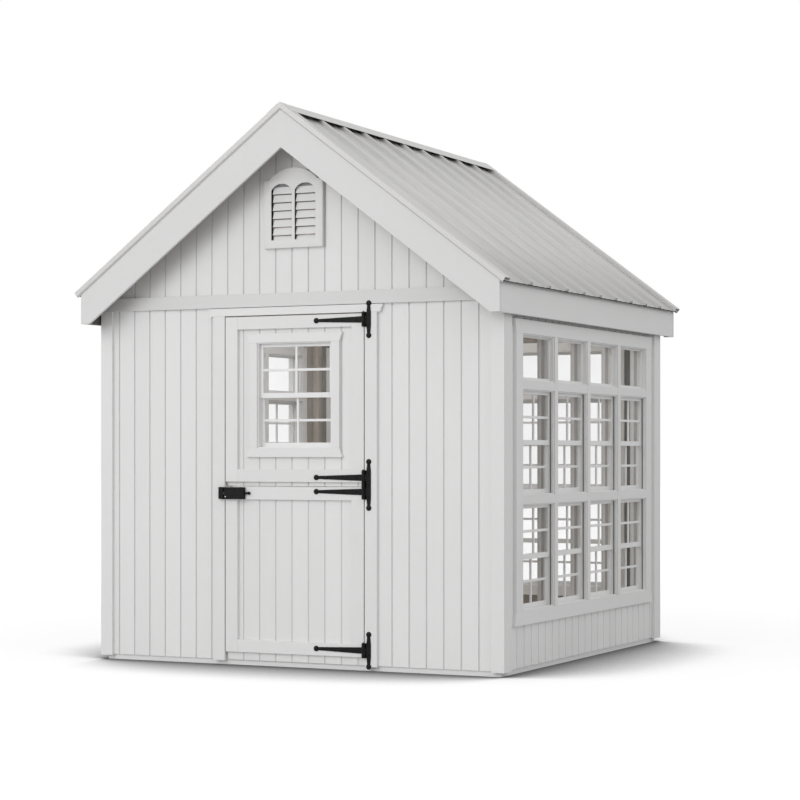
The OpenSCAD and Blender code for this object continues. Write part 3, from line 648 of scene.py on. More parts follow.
def window_wall_framing(name, node, side, half, gable, seed):
    """Studs round and between a wall's windows, with short rails above and below each."""
    work = Joinery(seed, TURNS[side])
    rail(work, -half, half, DECK_TOP, DECK_TOP + STUD)
    rail(work, -half, half, PLATE_TOP - STUD, PLATE_TOP)
    low, high = DECK_TOP + STUD, PLATE_TOP - STUD
    outer, jamb = half - STUD / 2, GROUP_HALF + STUD / 2
    for x in (outer, -outer, jamb, -jamb, *POSTS):
        stud(work, x, low, high)
    edges = [-GROUP_HALF, *POSTS, GROUP_HALF]
    for i in range(COLUMNS):
        x0 = edges[i] + (STUD / 2 if i else 0)
        x1 = edges[i + 1] - (STUD / 2 if i < COLUMNS - 1 else 0)
        rail(work, x0, x1, GROUP_FOOT - STUD, GROUP_FOOT)
        rail(work, x0, x1, GROUP_TOP, GROUP_TOP + STUD)
        for row in (1, 2):
            middle = GROUP_FOOT + row * ROW_STEP - BAR / 2
            rail(work, x0, x1, middle - STUD / 2, middle + STUD / 2)
    if gable:
        gable_framing(work)
    piece(name, work.mesh(), "house", [stud_wood], [node], 0.002)


def front_framing():
    work = Joinery(21)
    outer = WALL - STUD_DEEP
    for side in (-1, 1):
        ends = sorted((side * STOP, side * outer))
        rail(work, ends[0], ends[1], DECK_TOP, DECK_TOP + STUD)
        for i in range(4):
            x = STOP + STUD / 2 + i * (outer - STOP - STUD) / 3
            stud(work, side * x, DECK_TOP + STUD, PLATE_TOP - STUD)
    rail(work, -outer, outer, PLATE_TOP - STUD, PLATE_TOP)
    rail(work, -STOP, STOP, LEAF_TOP - 0.009, PLATE_TOP - STUD)
    gable_framing(work)
    piece("front_wall_studs", work.mesh(), "house", [stud_wood],
          ["front_frame_sides", "front_frame_head"], 0.002)


# Siding


def groove_depth(x, first, deep):
    """How far the siding's face lies back at X. First is the place of one groove."""
    off = abs((x - first + GROOVE_STEP / 2) % GROOVE_STEP - GROOVE_STEP / 2)
    if off <= GROOVE_FLOOR / 2 + 1e-7:
        return deep
    if off >= GROOVE_WIDE / 2:
        return 0.0
    return deep * (GROOVE_WIDE / 2 - off) / ((GROOVE_WIDE - GROOVE_FLOOR) / 2)


def grooved_siding(work, half, levels, holes, back, first, deep, roof):
    """A closed sheet with upright grooves. Levels are the heights that its rows end at, holes
    are (low x, high x, row), and roof is the height of its sloped top over the ridge."""
    def top(x):
        return 1e9 if roof is None else roof - PITCH * abs(x)

    places = {-half, half}
    for low, high, _ in holes:
        places |= {low, high}
    if roof is not None:
        places.add(0.0)
        crossings = [(roof - level) / PITCH for level in levels]
        places |= {x * side for x in crossings for side in (-1, 1) if 0 < x < half}
    count = int(half / GROOVE_STEP) + 2
    for i in range(-count, count + 1):
        middle = first + i * GROOVE_STEP
        for off in (-GROOVE_WIDE / 2, -GROOVE_FLOOR / 2, GROOVE_FLOOR / 2, GROOVE_WIDE / 2):
            if -half < middle + off < half:
                places.add(middle + off)
    xs = []
    for x in sorted(places):
        if not xs or x - xs[-1] > 1e-4:
            xs.append(x)
    points, index = [], {}
    heights = levels + ([1e9] if roof is not None else [])

    def corner(i, level, behind):
        z = min(heights[level], top(xs[i]))
        key = (i, round(z, 6), behind)
        if key not in index:
            index[key] = len(points)
            y = -back if behind else -SIDING_FACE + groove_depth(xs[i], first, deep)
            points.append((xs[i], y, z))
        return index[key]

    def there(i, row):
        if not (0 <= i < len(xs) - 1 and 0 <= row < len(heights) - 1):
            return False
        middle = (xs[i] + xs[i + 1]) / 2
        if min(heights[row + 1], top(middle)) - min(heights[row], top(middle)) < 1e-6:
            return False
        return not any(low < middle < high and row == hole for low, high, hole in holes)

    faces, finishes = [], []

    def face_of(corners, finish):
        loop = []
        for c in corners:
            if c not in loop:
                loop.append(c)
        if len(loop) > 2:
            faces.append(loop)
            finishes.append(finish)

    for i in range(len(xs) - 1):
        for row in range(len(heights) - 1):
            if not there(i, row):
                continue
            for behind in (False, True):
                face_of([corner(i, row, behind), corner(i + 1, row, behind),
                         corner(i + 1, row + 1, behind), corner(i, row + 1, behind)], int(behind))
            for beyond, start, end in (
                    ((i, row - 1), (i, row), (i + 1, row)), ((i, row + 1), (i, row + 1), (i + 1, row + 1)),
                    ((i - 1, row), (i, row), (i, row + 1)), ((i + 1, row), (i + 1, row), (i + 1, row + 1))):
                if not there(*beyond):
                    face_of([corner(*start, False), corner(*end, False),
                             corner(*end, True), corner(*start, True)], 0)
    used = sorted({c for loop in faces for c in loop})
    renumber = {c: n for n, c in enumerate(used)}
    work.add([points[c] for c in used], [[renumber[c] for c in loop] for loop in faces],
             (0, 0, 1), finishes, False)
    # The grain is counted from a groove's middle, so that each board has its own
    work.grain[-len(used):] = [Vector((z, x - first, y)) for x, y, z in (points[c] for c in used)]


def siding_piece(name, nodes, side, seed, half, levels, holes, first, roof=None, body="house",
                 back=WALL, deep=GROOVE_DEEP):
    work = Joinery(seed, TURNS[side])
    grooved_siding(work, half, levels, holes, back, first, deep, roof)
    return piece(name, work.mesh(), body, [siding_white, siding_back], nodes)


def wall_siding():
    vent = (-VENT_HOLE_HALF, VENT_HOLE_HALF)
    siding_piece("front_siding_boards", ["front_siding_sides", "front_gable_siding"], "front", 31,
                 SIDING_FACE, [SIDING_FOOT, DOORWAY_TOP, VENT_HOLE_FOOT, VENT_HOLE_TOP],
                 [(-DOORWAY, DOORWAY, 0), (*vent, 2)], FRONT_GROOVE, RAFTER_TOP)
    siding_piece("back_siding_boards", ["back_siding", "back_gable_siding"], "back", 32, SIDING_FACE,
                 [SIDING_FOOT, GROUP_FOOT, GROUP_TOP, VENT_HOLE_FOOT, VENT_HOLE_TOP],
                 [(-GROUP_HALF, GROUP_HALF, 1), (*vent, 3)], FRONT_GROOVE, RAFTER_TOP)
    top = RAFTER_BOTTOM - PITCH * SIDING_FACE
    for side, seed in (("left", 33), ("right", 34)):
        siding_piece(side + "_siding_boards", [side + "_siding"], side, seed, WALL,
                     [SIDING_FOOT, GROUP_FOOT, GROUP_TOP, top], [(-GROUP_HALF, GROUP_HALF, 1)], SIDE_GROOVE)


# Trim boards


def corner_trim():
    work = Joinery(41)
    front_wide, side_wide = 0.075, 0.089
    side_top = RAFTER_BOTTOM - PITCH * TRIM_FACE
    for sx in (-1, 1):
        for sy in (-1, 1):
            x = sorted((sx * (TRIM_FACE - front_wide), sx * TRIM_FACE))
            y = sorted((sy * SIDING_FACE, sy * TRIM_FACE))
            work.box((x[0], y[0], TRIM_FOOT), (x[1], y[1], BAND_FOOT))
            x = sorted((sx * SIDING_FACE, sx * TRIM_FACE))
            y = sorted((sy * SIDING_FACE, sy * (SIDING_FACE - side_wide)))
            work.box((x[0], y[0], TRIM_FOOT), (x[1], y[1], side_top))
    piece("corner_trim_boards", work.mesh(), "house", [trim_white], ["corner_boards"], 0.0015)


def flared_board(work, low_half, low, high_half, high):
    """A level trim board whose ends slant."""
    outline = [(-low_half, low), (low_half, low), (high_half, high), (-high_half, high)]
    work.prism(outline, -TRIM_FACE, -SIDING_FACE)


def casing(work, half, foot, top, side_wide, rail_wide):
    """Trim boards round an opening: two uprights, and a sill and a head with flared ends."""
    outer = half + side_wide
    work.pair(half, outer, (-TRIM_FACE, foot), (-SIDING_FACE, top))
    flared_board(work, outer + FLARE, foot - rail_wide, outer, foot)
    flared_board(work, outer, top, outer + FLARE, top + rail_wide)


def window_bars(work, face, back):
    """The boards between a group's windows. The level ones lie a little behind the upright ones."""
    near, far = sorted((face, back))
    for x in POSTS:
        work.box((x - POST / 2, near, GROUP_FOOT), (x + POST / 2, far, GROUP_TOP))
    near, far = sorted((face + math.copysign(0.0008, back - face), back))
    edges = [-GROUP_HALF - POST / 2, *POSTS, GROUP_HALF + POST / 2]
    for row in (1, 2):
        high = GROUP_FOOT + row * ROW_STEP
        for left, right in zip(edges, edges[1:]):
            work.box((left + POST / 2, near, high - BAR), (right - POST / 2, far, high))


def window_casings(side, seed):
    """The boards round and between a wall's windows."""
    work = Joinery(seed, TURNS[side])
    casing(work, GROUP_HALF, GROUP_FOOT, GROUP_TOP, SIDE_CASING, RAIL_CASING)
    window_bars(work, -TRIM_FACE, -WALL)
    piece(side + "_window_casings", work.mesh(), "house", [trim_white],
          [side + "_window_casing"], 0.0015)


def inner_casings(side, seed):
    """White boards on the inner faces of the studs, round and between a wall's windows."""
    work = Joinery(seed, TURNS[side])
    back = -WALL + STUD_DEEP
    face, wide = back + 0.012, 0.060
    work.pair(GROUP_HALF, GROUP_HALF + wide, (back, GROUP_FOOT - wide), (face, GROUP_TOP + wide))
    for low in (GROUP_FOOT - wide, GROUP_TOP):
        work.box((-GROUP_HALF, back, low), (GROUP_HALF, face - 0.0004, low + wide))
    window_bars(work, face, back)
    piece(side + "_inner_casings", work.mesh(), "house", [trim_white], (), 0.0015)


def door_casings():
    work = Joinery(47)
    outer = DOORWAY + DOOR_CASING
    work.pair(DOORWAY, outer, (-TRIM_FACE, TRIM_FOOT), (-SIDING_FACE, DOORWAY_TOP))
    flared_board(work, outer + FLARE, DOORWAY_TOP, outer + 2 * FLARE, BAND_FOOT - 0.003)
    piece("doorway_casings", work.mesh(), "house", [trim_white],
          ["door_side_casings", "door_head_casing"], 0.0015)


# Windows


def window_unit(height, sashes, deep=0.087):
    """Frame, glass, seals and sash tracks of one window. Y is the distance behind the casing's face."""
    half, lining, thick, front = PANE_WIDTH / 2, 0.006, 0.014, 0.008
    seal_wide, track_wide = 0.003, 0.0012
    inside = half - lining
    wood, glass, seals, tracks = Joinery(61), Joinery(62), Joinery(64), Joinery(65)
    wood.pair(half, inside, (front, 0), (front + deep, height))
    # Partly painted shade: the grey seals give the dark line of the shaded gap beside the sashes
    seals.pair(inside, inside - seal_wide, (front + 0.014, lining), (front + 0.0195, height - lining))
    # Partly painted shade: the grey tracks darken the jambs near the sashes, where shade falls
    tracks.pair(inside, inside - track_wide, (0.0615, lining), (0.0800, height - lining))
    wood.box((-inside, front, height - lining), (inside, front + deep, height))
    wood.box((-inside, front, 0), (inside, front + deep, lining))
    # Each light: its distance behind the face, foot, head, and the height of its two rails
    if sashes == 2:
        stile, overlap, middle = 0.018, 0.014, height / 2
        lights = [(0.031, middle - overlap, height - lining, 0.028, 0.018),
                  (0.047, lining, middle + overlap, 0.024, 0.028)]
    else:
        stile = 0.010
        lights = [(0.031, lining, height - lining, 0.012, 0.010)]
    clear = inside - stile
    for y, low, high, foot_rail, head_rail in lights:
        wood.pair(inside, clear, (y, low), (y + thick, high))
        wood.box((-clear, y, low), (clear, y + thick, low + foot_rail))
        wood.box((-clear, y, high - head_rail), (clear, y + thick, high))
        foot, head = low + foot_rail, high - head_rail
        if sashes == 2:
            bar, middle = 0.007, (foot + head) / 2
            wood.box((-bar, y + 0.001, foot), (bar, y + 0.011, head))
            wood.box((-clear, y + 0.0015, middle - bar), (-bar, y + 0.0105, middle + bar))
            wood.box((bar, y + 0.0015, middle - bar), (clear, y + 0.0105, middle + bar))
        lap = 0.004
        glass.box((-clear - lap, y + 0.005, foot - lap), (clear + lap, y + 0.008, head + lap))
    return wood.mesh(), glass.mesh(), seals.mesh(), tracks.mesh()


def wall_windows(side):
    """Two rows of tall windows under a row of low lights, repeated along the wall."""
    first = (-(COLUMNS - 1) / 2 * COLUMN_STEP, -TRIM_FACE, GROUP_FOOT)
    above = (*first[:2], GROUP_FOOT + 2 * ROW_STEP)
    columns = {"columns": COLUMNS, "step": (COLUMN_STEP, 0, 0), "turn": (0, 0, TURNS[side])}
    parts = (("windows", window_white, ["window_frames"], 0.001),
             ("window_panes", pane_glass, ["window_glass"], 0.0),
             ("window_seals", shaded_seal_rubber, [], 0.0), ("sash_tracks", shaded_track_grey, [], 0.0))
    for tall, low, (name, finish, nodes, bevel) in zip(window_unit(TALL, 2), window_unit(LOW, 1), parts):
        rows = [repeated(tall, finish, rows=2, row_step=(0, 0, ROW_STEP), first=first, **columns)]
        if name != "window_seals":
            rows.append(repeated(low, finish, first=above, **columns))
        stands_for = [side + "_" + node for node in nodes]
        piece(side + "_" + name, joined(rows), "house", [finish], stands_for, bevel)


# Gable vents


def arched(width, height, rise, shoulder):
    """Outline of an upright with an arch on top, between flat shoulders."""
    steps = 40
    chord = width - 2 * shoulder
    radius = (chord * chord / 4 + rise * rise) / (2 * rise)
    turn = math.asin(chord / 2 / radius)
    points = [(-width / 2, 0), (width / 2, 0)]
    if shoulder:
        points.append((width / 2, height))
    for i in range(steps + 1):
        a = turn * (1 - 2 * i / steps)
        points.append((radius * math.sin(a), height + rise - radius + radius * math.cos(a)))
    if shoulder:
        points.append((-width / 2, height))
    return points


def cut_plate(outlines, thick, bevel):
    """A flat plate from an outline and holes in X and Z, its front at Y 0 and its back at thick."""
    curve = bpy.data.curves.new("outline", "CURVE")
    curve.dimensions = "2D"
    curve.fill_mode = "BOTH"
    curve.extrude = thick / 2 - bevel
    curve.bevel_depth = bevel
    curve.bevel_resolution = 1
    curve.offset = -bevel
    for outline in outlines:
        spline = curve.splines.new("POLY")
        spline.points.add(len(outline) - 1)
        for point, (x, z) in zip(spline.points, outline):
            point.co = (x, z, 0, 1)
        spline.use_cyclic_u = True
    holder = link(bpy.data.objects.new("outline", curve))
    graph = bpy.context.evaluated_depsgraph_get()
    mesh = bpy.data.meshes.new_from_object(holder.evaluated_get(graph), depsgraph=graph)
    bpy.data.objects.remove(holder)
    mesh.transform(Matrix.Translation((0, thick / 2, 0)) @ Matrix.Rotation(math.pi / 2, 4, "X"))
    outward(mesh, 1e-6)
    return mesh


def moved(mesh, place=(0, 0, 0), turn=0.0):
    mesh.transform(Matrix.Rotation(turn, 4, "Z") @ Matrix.Translation(place))
    return mesh


def vents():
    """A face plate with two arched openings, a body, slats, a grey board of painted shade in the arch tops,
    and a screen on a black rim behind them; the black rim is painted shade in the recess.
    """
    face_y = -SIDING_FACE - 0.025
    plate_front, plate_back = 0.006, 0.025
    wide, side_wide = VENT_HOLE_HALF, 0.150
    sill, head = VENT_HOLE_FOOT - VENT_FOOT, VENT_HOLE_TOP - VENT_FOOT
    hole = arched(0.128, 0.272, 0.037, 0)
    outer = arched(2 * VENT_HALF, 0.371, 0.067, 0.032)
    holes = [[(x + side * 0.073, z + sill) for x, z in hole] for side in (-1, 1)]
    face = cut_plate([outer, *holes], plate_front, 0.0012)
    body = Joinery(71)
    body.box((-VENT_HALF, plate_front, 0), (VENT_HALF, plate_back, sill))
    body.pair(side_wide, VENT_HALF, (plate_front, sill), (plate_back, head))
    body.prism([(-VENT_HALF, head), (VENT_HALF, head), *outer[2:]], plate_front, plate_back)
    body.box((-0.006, plate_front, sill), (-0.001, 0.0245, head))
    slat = Joinery(72)
    for low, high in ((-0.131, -0.005), (0.011, wide)):
        slat.prism([(0.010, 0), (0.0240, 0.0402), (0.0278, 0.0388), (0.0136, -0.0016)], low, high, "X")
    # Painted shade: a black rim behind the openings' edges and a black bar behind the middle, standing in
    # for the shade in the deep recess
    rim = Joinery(77)
    rim.pair(wide, side_wide - 0.0005, (0.0225, 0.046), (0.0249, 0.352))
    rim.box((-0.006, 0.0285, 0.046), (0.014, 0.0305, 0.336))
    # Painted shade: a grey board across the arch tops, where the arches' shadow falls
    shade_board = Joinery(78)
    shade_board.box((-wide, 0.0210, 0.3365), (wide, 0.0248, 0.356))
    wire, pitch = 0.0006, 0.004
    wires_up, wires_level = Joinery(73), Joinery(74)
    wires_up.box((-wire, 0.0322, sill), (wire, 0.0328, head))
    wires_level.box((-wide, 0.0328, -wire), (wide, 0.0334, wire))
    columns = int(2 * wide / pitch)
    slat, wires_up, wires_level = slat.mesh(), wires_up.mesh(), wires_level.mesh()
    for side, stands_for in (("front", ["gable_vents"]), ("back", [])):
        turn = TURNS[side]
        place = (0, face_y, VENT_FOOT)
        slats = repeated(slat, trim_white, rows=7, row_step=(0, 0, 0.045),
                         first=(0, face_y, VENT_FOOT + 0.028), turn=(0, 0, turn))
        parts = [moved(face.copy(), place, turn), moved(body.mesh(), place, turn), slats]
        piece(side + "_gable_vent", joined(parts), "house", [trim_white], stands_for, smooth=30)
        piece(side + "_vent_felt", moved(shade_board.mesh(), place, turn), "house", [vent_shade_board])
        upright = repeated(wires_up, screen_wire, columns, (pitch, 0, 0),
                           first=(-(columns - 1) / 2 * pitch, face_y, VENT_FOOT), turn=(0, 0, turn))
        level = repeated(wires_level, screen_wire, rows=int((head - sill) / pitch), row_step=(0, 0, pitch),
                         first=(0, face_y, VENT_HOLE_FOOT + 0.002), turn=(0, 0, turn))
        screen = joined([upright, level, moved(rim.mesh(), place, turn)])
        piece(side + "_vent_screen", screen, "house", [screen_wire])


# Roof


def slope_point(along, off):
    """X and Z of a point on the right slope, by its distance from the ridge and off the boards."""
    x = (along + off * PITCH) / SLOPE_LENGTH
    z = BOARDS_TOP + (off - along * PITCH) / SLOPE_LENGTH
    return x, z


def roof_timber():
    """Rafters, ridge board and eave blocks, the planks on them, and the painted edge boards."""
    for seed, node in enumerate(("rafters", "ridge_board", "eave_blocks"), 81):
        dressed("roof_" + node, node, "house", stud_wood, 0.002, seed)
    planks = Joinery(84)
    end = EAVE_X * SLOPE_LENGTH
    count, start, gap = 11, 0.016, 0.0008
    wide = (end - start) / count
    for side in (-1, 1):
        for i in range(count):
            low = start + i * wide + gap
            high = low + wide - 2 * gap
            corners = ((low, 0), (high, 0), (high, -BOARD), (low, -BOARD))
            outline = [slope_point(*corner) for corner in corners]
            if i == count - 1:
                outline[1] = (EAVE_X, BOARDS_TOP - PITCH * EAVE_X)
                outline[2] = (EAVE_X, RAFTER_TOP - PITCH * EAVE_X)
            edge = int(i == count - 1)
            planks.prism([(side * x, z) for x, z in outline], -RAKE_IN, RAKE_IN, "Y", (0, 1, 0),
                         [0, 0, 0, edge, 0, 0])
    piece("roof_planks", planks.mesh(), "house", [deck_wood, trim_white], ["roof_boards"], 0.001)
    rakes = Joinery(85)
    foot_x = (RAKE_BOTTOM - EAVE_FOOT) / PITCH
    for end in (-1, 1):
        y = sorted((end * RAKE_IN, end * RAKE_FACE))
        for side in (-1, 1):
            outline = [(0, BOARDS_TOP), (EAVE_X, BOARDS_TOP - PITCH * EAVE_X), (EAVE_X, EAVE_FOOT),
                       (foot_x, EAVE_FOOT), (0, RAKE_BOTTOM)]
            rakes.prism([(side * x, z) for x, z in outline], *y, "Y", (side, 0, -PITCH))
    mesh = rakes.mesh()
    sharp_mitres(mesh)
    # Painted shade: the rake boards' inward faces take the dark wood in place of shade
    shaded_raw_backs(mesh)
    piece("rake_edge_boards", mesh, "house", [shaded_rake_white, eave_shade_wood], ["rake_boards"], 0.0018)
    eaves = Joinery(86).copied(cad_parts["eave_boards"].data).mesh()
    # Painted shade: the eave boards' inward faces take the dark wood in place of shade
    shaded_raw_backs(eaves)
    piece("eave_edge_boards", eaves, "house", [trim_white, eave_shade_wood], ["eave_boards"], 0.0018)
    # Painted shade: the gable bands take the darker copy of the trim paint
    dressed("gable_band_boards", "gable_bands", "house", shaded_rake_white, 0.0015, 87)


def ribbed_sheet_tree():
    """A roof sheet whose height across its width follows ribs and two low swells between them."""
    tree, nodes, given = new_tree("ribbed_roof_sheet", [
        ("Length", "Float", 1.6), ("Start", "Float", 0.008), ("Width", "Float", 2.8), ("Steps", "Int", 1865),
        ("Rib Pitch", "Float", 0.261), ("Rib Foot", "Float", 0.064), ("Rib Top", "Float", 0.025),
        ("Rib Height", "Float", 0.0175), ("Rib Limit", "Float", 1.27),
        ("Swell Width", "Float", 0.034), ("Swell Height", "Float", 0.0028),
        ("Lift", "Float", 0.0015), ("Slope", "Vector", (0, SLOPE, 0)), ("Ridge", "Vector", (0, 0, 3)),
        ("Material", "Material", None)])
    grid = nodes.add("GeometryNodeMeshGrid", {
        "Size X": given["Length"], "Size Y": given["Width"], "Vertices X": 2, "Vertices Y": given["Steps"]})
    place = nodes.add("GeometryNodeInputPosition")
    across = nodes.add("ShaderNodeSeparateXYZ", {0: place.outputs[0]}).outputs["Y"]

    def part_of(label, share=0.5):
        return nodes.math("MULTIPLY", given[label], share)

    from_rib = nodes.math("WRAP", across, part_of("Rib Pitch"), part_of("Rib Pitch", -0.5))
    off = nodes.math("ABSOLUTE", from_rib)
    rib = nodes.spread(off, part_of("Rib Foot"), part_of("Rib Top"), 0.0, given["Rib Height"])
    from_swell = nodes.math("ABSOLUTE", nodes.math("SUBTRACT", off, part_of("Rib Pitch", 0.335)))
    swell = nodes.add("ShaderNodeMapRange", {
        "Value": from_swell, "From Min": part_of("Swell Width"), "From Max": 0.0,
        "To Min": 0.0, "To Max": given["Swell Height"]}, interpolation_type="SMOOTHSTEP")
    covered = nodes.math("LESS_THAN", nodes.math("ABSOLUTE", across), given["Rib Limit"])
    shaped_rib = nodes.math("MULTIPLY", rib, covered)
    height = nodes.math("ADD", nodes.math("ADD", shaped_rib, swell.outputs[0]), given["Lift"])
    ahead = nodes.math("ADD", part_of("Length"), given["Start"])
    shift = nodes.add("ShaderNodeCombineXYZ", {"X": ahead, "Z": height})
    shaped = nodes.add("GeometryNodeSetPosition", {"Geometry": grid.outputs[0], "Offset": shift.outputs[0]})
    sloped = nodes.add("GeometryNodeTransform", {
        "Geometry": shaped.outputs[0], "Translation": given["Ridge"], "Rotation": given["Slope"]})
    far = nodes.add("GeometryNodeTransform", {"Geometry": sloped.outputs[0], "Rotation": (0, 0, math.pi)})
    both = nodes.add("GeometryNodeJoinGeometry")
    nodes.wire(sloped.outputs[0], both.inputs[0])
    nodes.wire(far.outputs[0], both.inputs[0])
    end_tree(nodes, both.outputs[0], given["Material"])
    return tree


def hex_screw():
    """A roofing screw: a washer and a hexagonal head, drawn standing on Z 0."""
    work = Joinery(91)
    for radius, count, low, high in ((0.0075, 16, 0.0, 0.0018), (0.0046, 6, 0.0018, 0.0062)):
        angles = [i * 2 * math.pi / count for i in range(count)]
        work.prism([(radius * math.cos(a), radius * math.sin(a)) for a in angles], low, high, "Z")
    return work.mesh()


def folded_sheet(outline):
    """A sheet of metal bent along an open line in two dimensions, as a closed outline."""
    line = [Vector(p) for p in outline]
    sides = []
    for i, point in enumerate(line):
        before = (point - line[i - 1]).normalized() if i else (line[1] - point).normalized()
        after = (line[i + 1] - point).normalized() if i < len(line) - 1 else before
        middle = (before + after).normalized()
        normal = Vector((-middle.y, middle.x))
        reach = SHEET_THICK / 2 / max(0.35, normal.dot(Vector((-before.y, before.x))))
        sides.append((point + normal * reach, point - normal * reach))
    return [tuple(a) for a, b in sides] + [tuple(b) for a, b in reversed(sides)]


SHEET_END = EAVE_X * SLOPE_LENGTH + 0.031
SHEET_RIDGE = (0, 0, BOARDS_TOP + 0.00005)


def roof_sheets():
    sheet = grown(ribbed_sheet_tree(), {
        "Length": SHEET_END - 0.008, "Width": 2 * RAKE_FACE, "Ridge": SHEET_RIDGE, "Material": roof_metal})
    sheet.materials.clear()
    roof = piece("ribbed_roof_sheets", sheet, "house", [roof_metal], ["roof_sheets"])
    sheet.shade_smooth()
    thickness = roof.modifiers.new("sheet_thickness", "SOLIDIFY")
    thickness.thickness = SHEET_THICK
    thickness.offset = -1


def ridge_cap():
    """Metal folded over the ridge, with a hem turned under along each edge."""
    cap = Joinery(92)
    rise = BOARDS_TOP + 0.0215 * SLOPE_LENGTH
    half, crease, hem_wide = 0.0742, 0.010, 0.012
    path = [(-half, rise - PITCH * half), (-crease, rise - PITCH * crease), (0.0, rise - 0.0035),
            (crease, rise - PITCH * crease), (half, rise - PITCH * half)]
    cap.prism(folded_sheet(path), -1.410, 1.410, "Y", (0, 1, 0))
    for side in (-1, 1):
        hem = [(side * half, rise - PITCH * half - 0.0004),
               (side * (half - hem_wide), rise - PITCH * (half - hem_wide) - 0.0018)]
        cap.prism(folded_sheet(hem), -1.409, 1.409, "Y", (0, 1, 0))
    piece("folded_ridge_cap", cap.mesh(), "house", [roof_metal], ["ridge_cap"])


def rake_metal():
    """Metal over the rake edges: a drip leg in front, a flat top and a riser down to the sheet."""
    trims = Joinery(93)
    front, riser, top = 1.4095, 1.3395, 0.0200
    profile = folded_sheet([(1.3992, -0.0125), (front, -0.0045), (front, top), (riser, top),
                            (riser, 0.0026), (1.3320, 0.0026)])
    count = len(profile)
    faces = [list(range(count)), list(range(count, 2 * count))]
    faces += [[i, (i + 1) % count, (i + 1) % count + count, i + count] for i in range(count)]
    upper = [(slope_point(-off * PITCH, off), y) for y, off in profile]
    lower = [(slope_point(SHEET_END - 0.0003, off), y) for y, off in profile]
    for side in (-1, 1):
        for way in (-1, 1):
            points = [(side * x, way * y, z) for (x, z), y in upper + lower]
            trims.add(points, faces, (side, 0, -PITCH))
    piece("rake_edge_metal", trims.mesh(), "house", [trim_metal], ["rake_trims"])


def roof_fittings():
    """Closures in the open ends of the ribs, a black strip of painted shadow under the sheet's edge, and
    screws.
    """
    on_slope = {"turn": (0, SLOPE, 0), "place": SHEET_RIDGE}
    closure = Joinery(94)
    top, foot, high = 0.0115, 0.030, 0.0170
    outline = [(-foot, 0.0006), (-top, high), (top, high), (foot, 0.0006)]
    closure.prism(outline, SHEET_END - 0.018, SHEET_END - 0.004, "X", (0, 1, 0))
    plugs = repeated(closure.mesh(), trim_metal, 9, (0, RIB_STEP, 0),
                     first=(0, -4 * RIB_STEP, 0), **on_slope)
    # Painted shadow: a black strip under the sheet's lower edge, where the overhang's shadow line falls
    strip = Joinery(95)
    strip.box((SHEET_END - 0.014, -1.392, -0.0052), (SHEET_END - 0.002, 1.392, 0.0003))
    strips = repeated(strip.mesh(), eave_shadow_strip, **on_slope)
    screws = repeated(hex_screw(), trim_metal, 4, (0.488, 0, 0), rows=10, row_step=(0, RIB_STEP, 0),
                      first=(0.105, -5 * RIB_STEP + 0.048, 0.0015), **on_slope)
    for side, turn in (("right", 0.0), ("left", math.pi)):
        piece(side + "_rib_closures", moved(plugs.copy(), turn=turn), "house", [trim_metal])
        piece(side + "_eave_foam", moved(strips.copy(), turn=turn), "house", [eave_shadow_strip])
        piece(side + "_roof_screws", moved(screws.copy(), turn=turn), "house", [trim_metal])


# Door leaves


def leaf_trim(work, low, high):
    """Stiles and rails on the face of a door leaf."""
    inside = LEAF - LEAF_STILE
    work.pair(LEAF, inside, (-TRIM_FACE, low), (-SIDING_FACE, high))
    for foot, top in ((low, low + LEAF_RAIL), (high - LEAF_RAIL, high)):
        work.box((-inside, -TRIM_FACE + 0.0004, foot), (inside, -SIDING_FACE, top))


def leaf_battens(name, node, body, low, high, seed):
    """The frame of unpainted boards on the inside of a door leaf."""
    work = Joinery(seed)
    half, wide, face, back = 0.400, 0.064, -1.224, -1.205
    inside = half - wide
    work.pair(half, inside, (face, low), (back, high))
    for foot, top in ((low, low + wide), (high - wide, high)):
        work.box((-inside, face, foot), (inside, back, top))
    piece(name, work.mesh(), body, [stud_wood], [node], 0.002)


def door_leaves():
    siding_piece("upper_leaf_boards", ["upper_door_panel"], "front", 101, LEAF,
                 [SPLIT_HIGH, DOOR_WINDOW_FOOT, DOOR_WINDOW_TOP, LEAF_TOP],
                 [(-DOOR_WINDOW, DOOR_WINDOW, 1)], FRONT_GROOVE,
                 body="upper_door", back=LEAF_BACK, deep=LEAF_GROOVE_DEEP)
    siding_piece("lower_leaf_boards", ["lower_door_panel"], "front", 102, LEAF, [SIDING_FOOT, SPLIT_LOW], [],
                 FRONT_GROOVE, body="lower_door", back=LEAF_BACK, deep=LEAF_GROOVE_DEEP)
    upper = Joinery(103)
    leaf_trim(upper, 1.017, LEAF_TOP)
    casing(upper, DOOR_WINDOW, DOOR_WINDOW_FOOT, DOOR_WINDOW_TOP, 0.050, 0.050)
    piece("upper_leaf_trim", upper.mesh(), "upper_door", [trim_white], ["upper_door_trim"], 0.0015)
    lower = Joinery(104)
    leaf_trim(lower, 0.074, SPLIT_LOW)
    lower.box((-0.398, -1.224, 0.9802), (0.398, -1.2165, 0.9938))
    piece("lower_leaf_trim", lower.mesh(), "lower_door", [trim_white], ["lower_door_trim"], 0.0015)
    leaf_battens("upper_leaf_battens", "upper_door_battens", "upper_door", 1.004, 1.911, 105)
    leaf_battens("lower_leaf_battens", "lower_door_battens", "lower_door", 0.120, 0.980, 106)
    wood, glass = window_unit(DOOR_WINDOW_TOP - DOOR_WINDOW_FOOT, 2, 0.056)[:2]
    place = (0, -TRIM_FACE, DOOR_WINDOW_FOOT)
    piece("door_window", moved(wood, place), "upper_door", [window_white], ["door_window_frame"], 0.001)
    piece("door_window_panes", moved(glass, place), "upper_door", [pane_glass], ["door_window_glass"])


# Ironwork


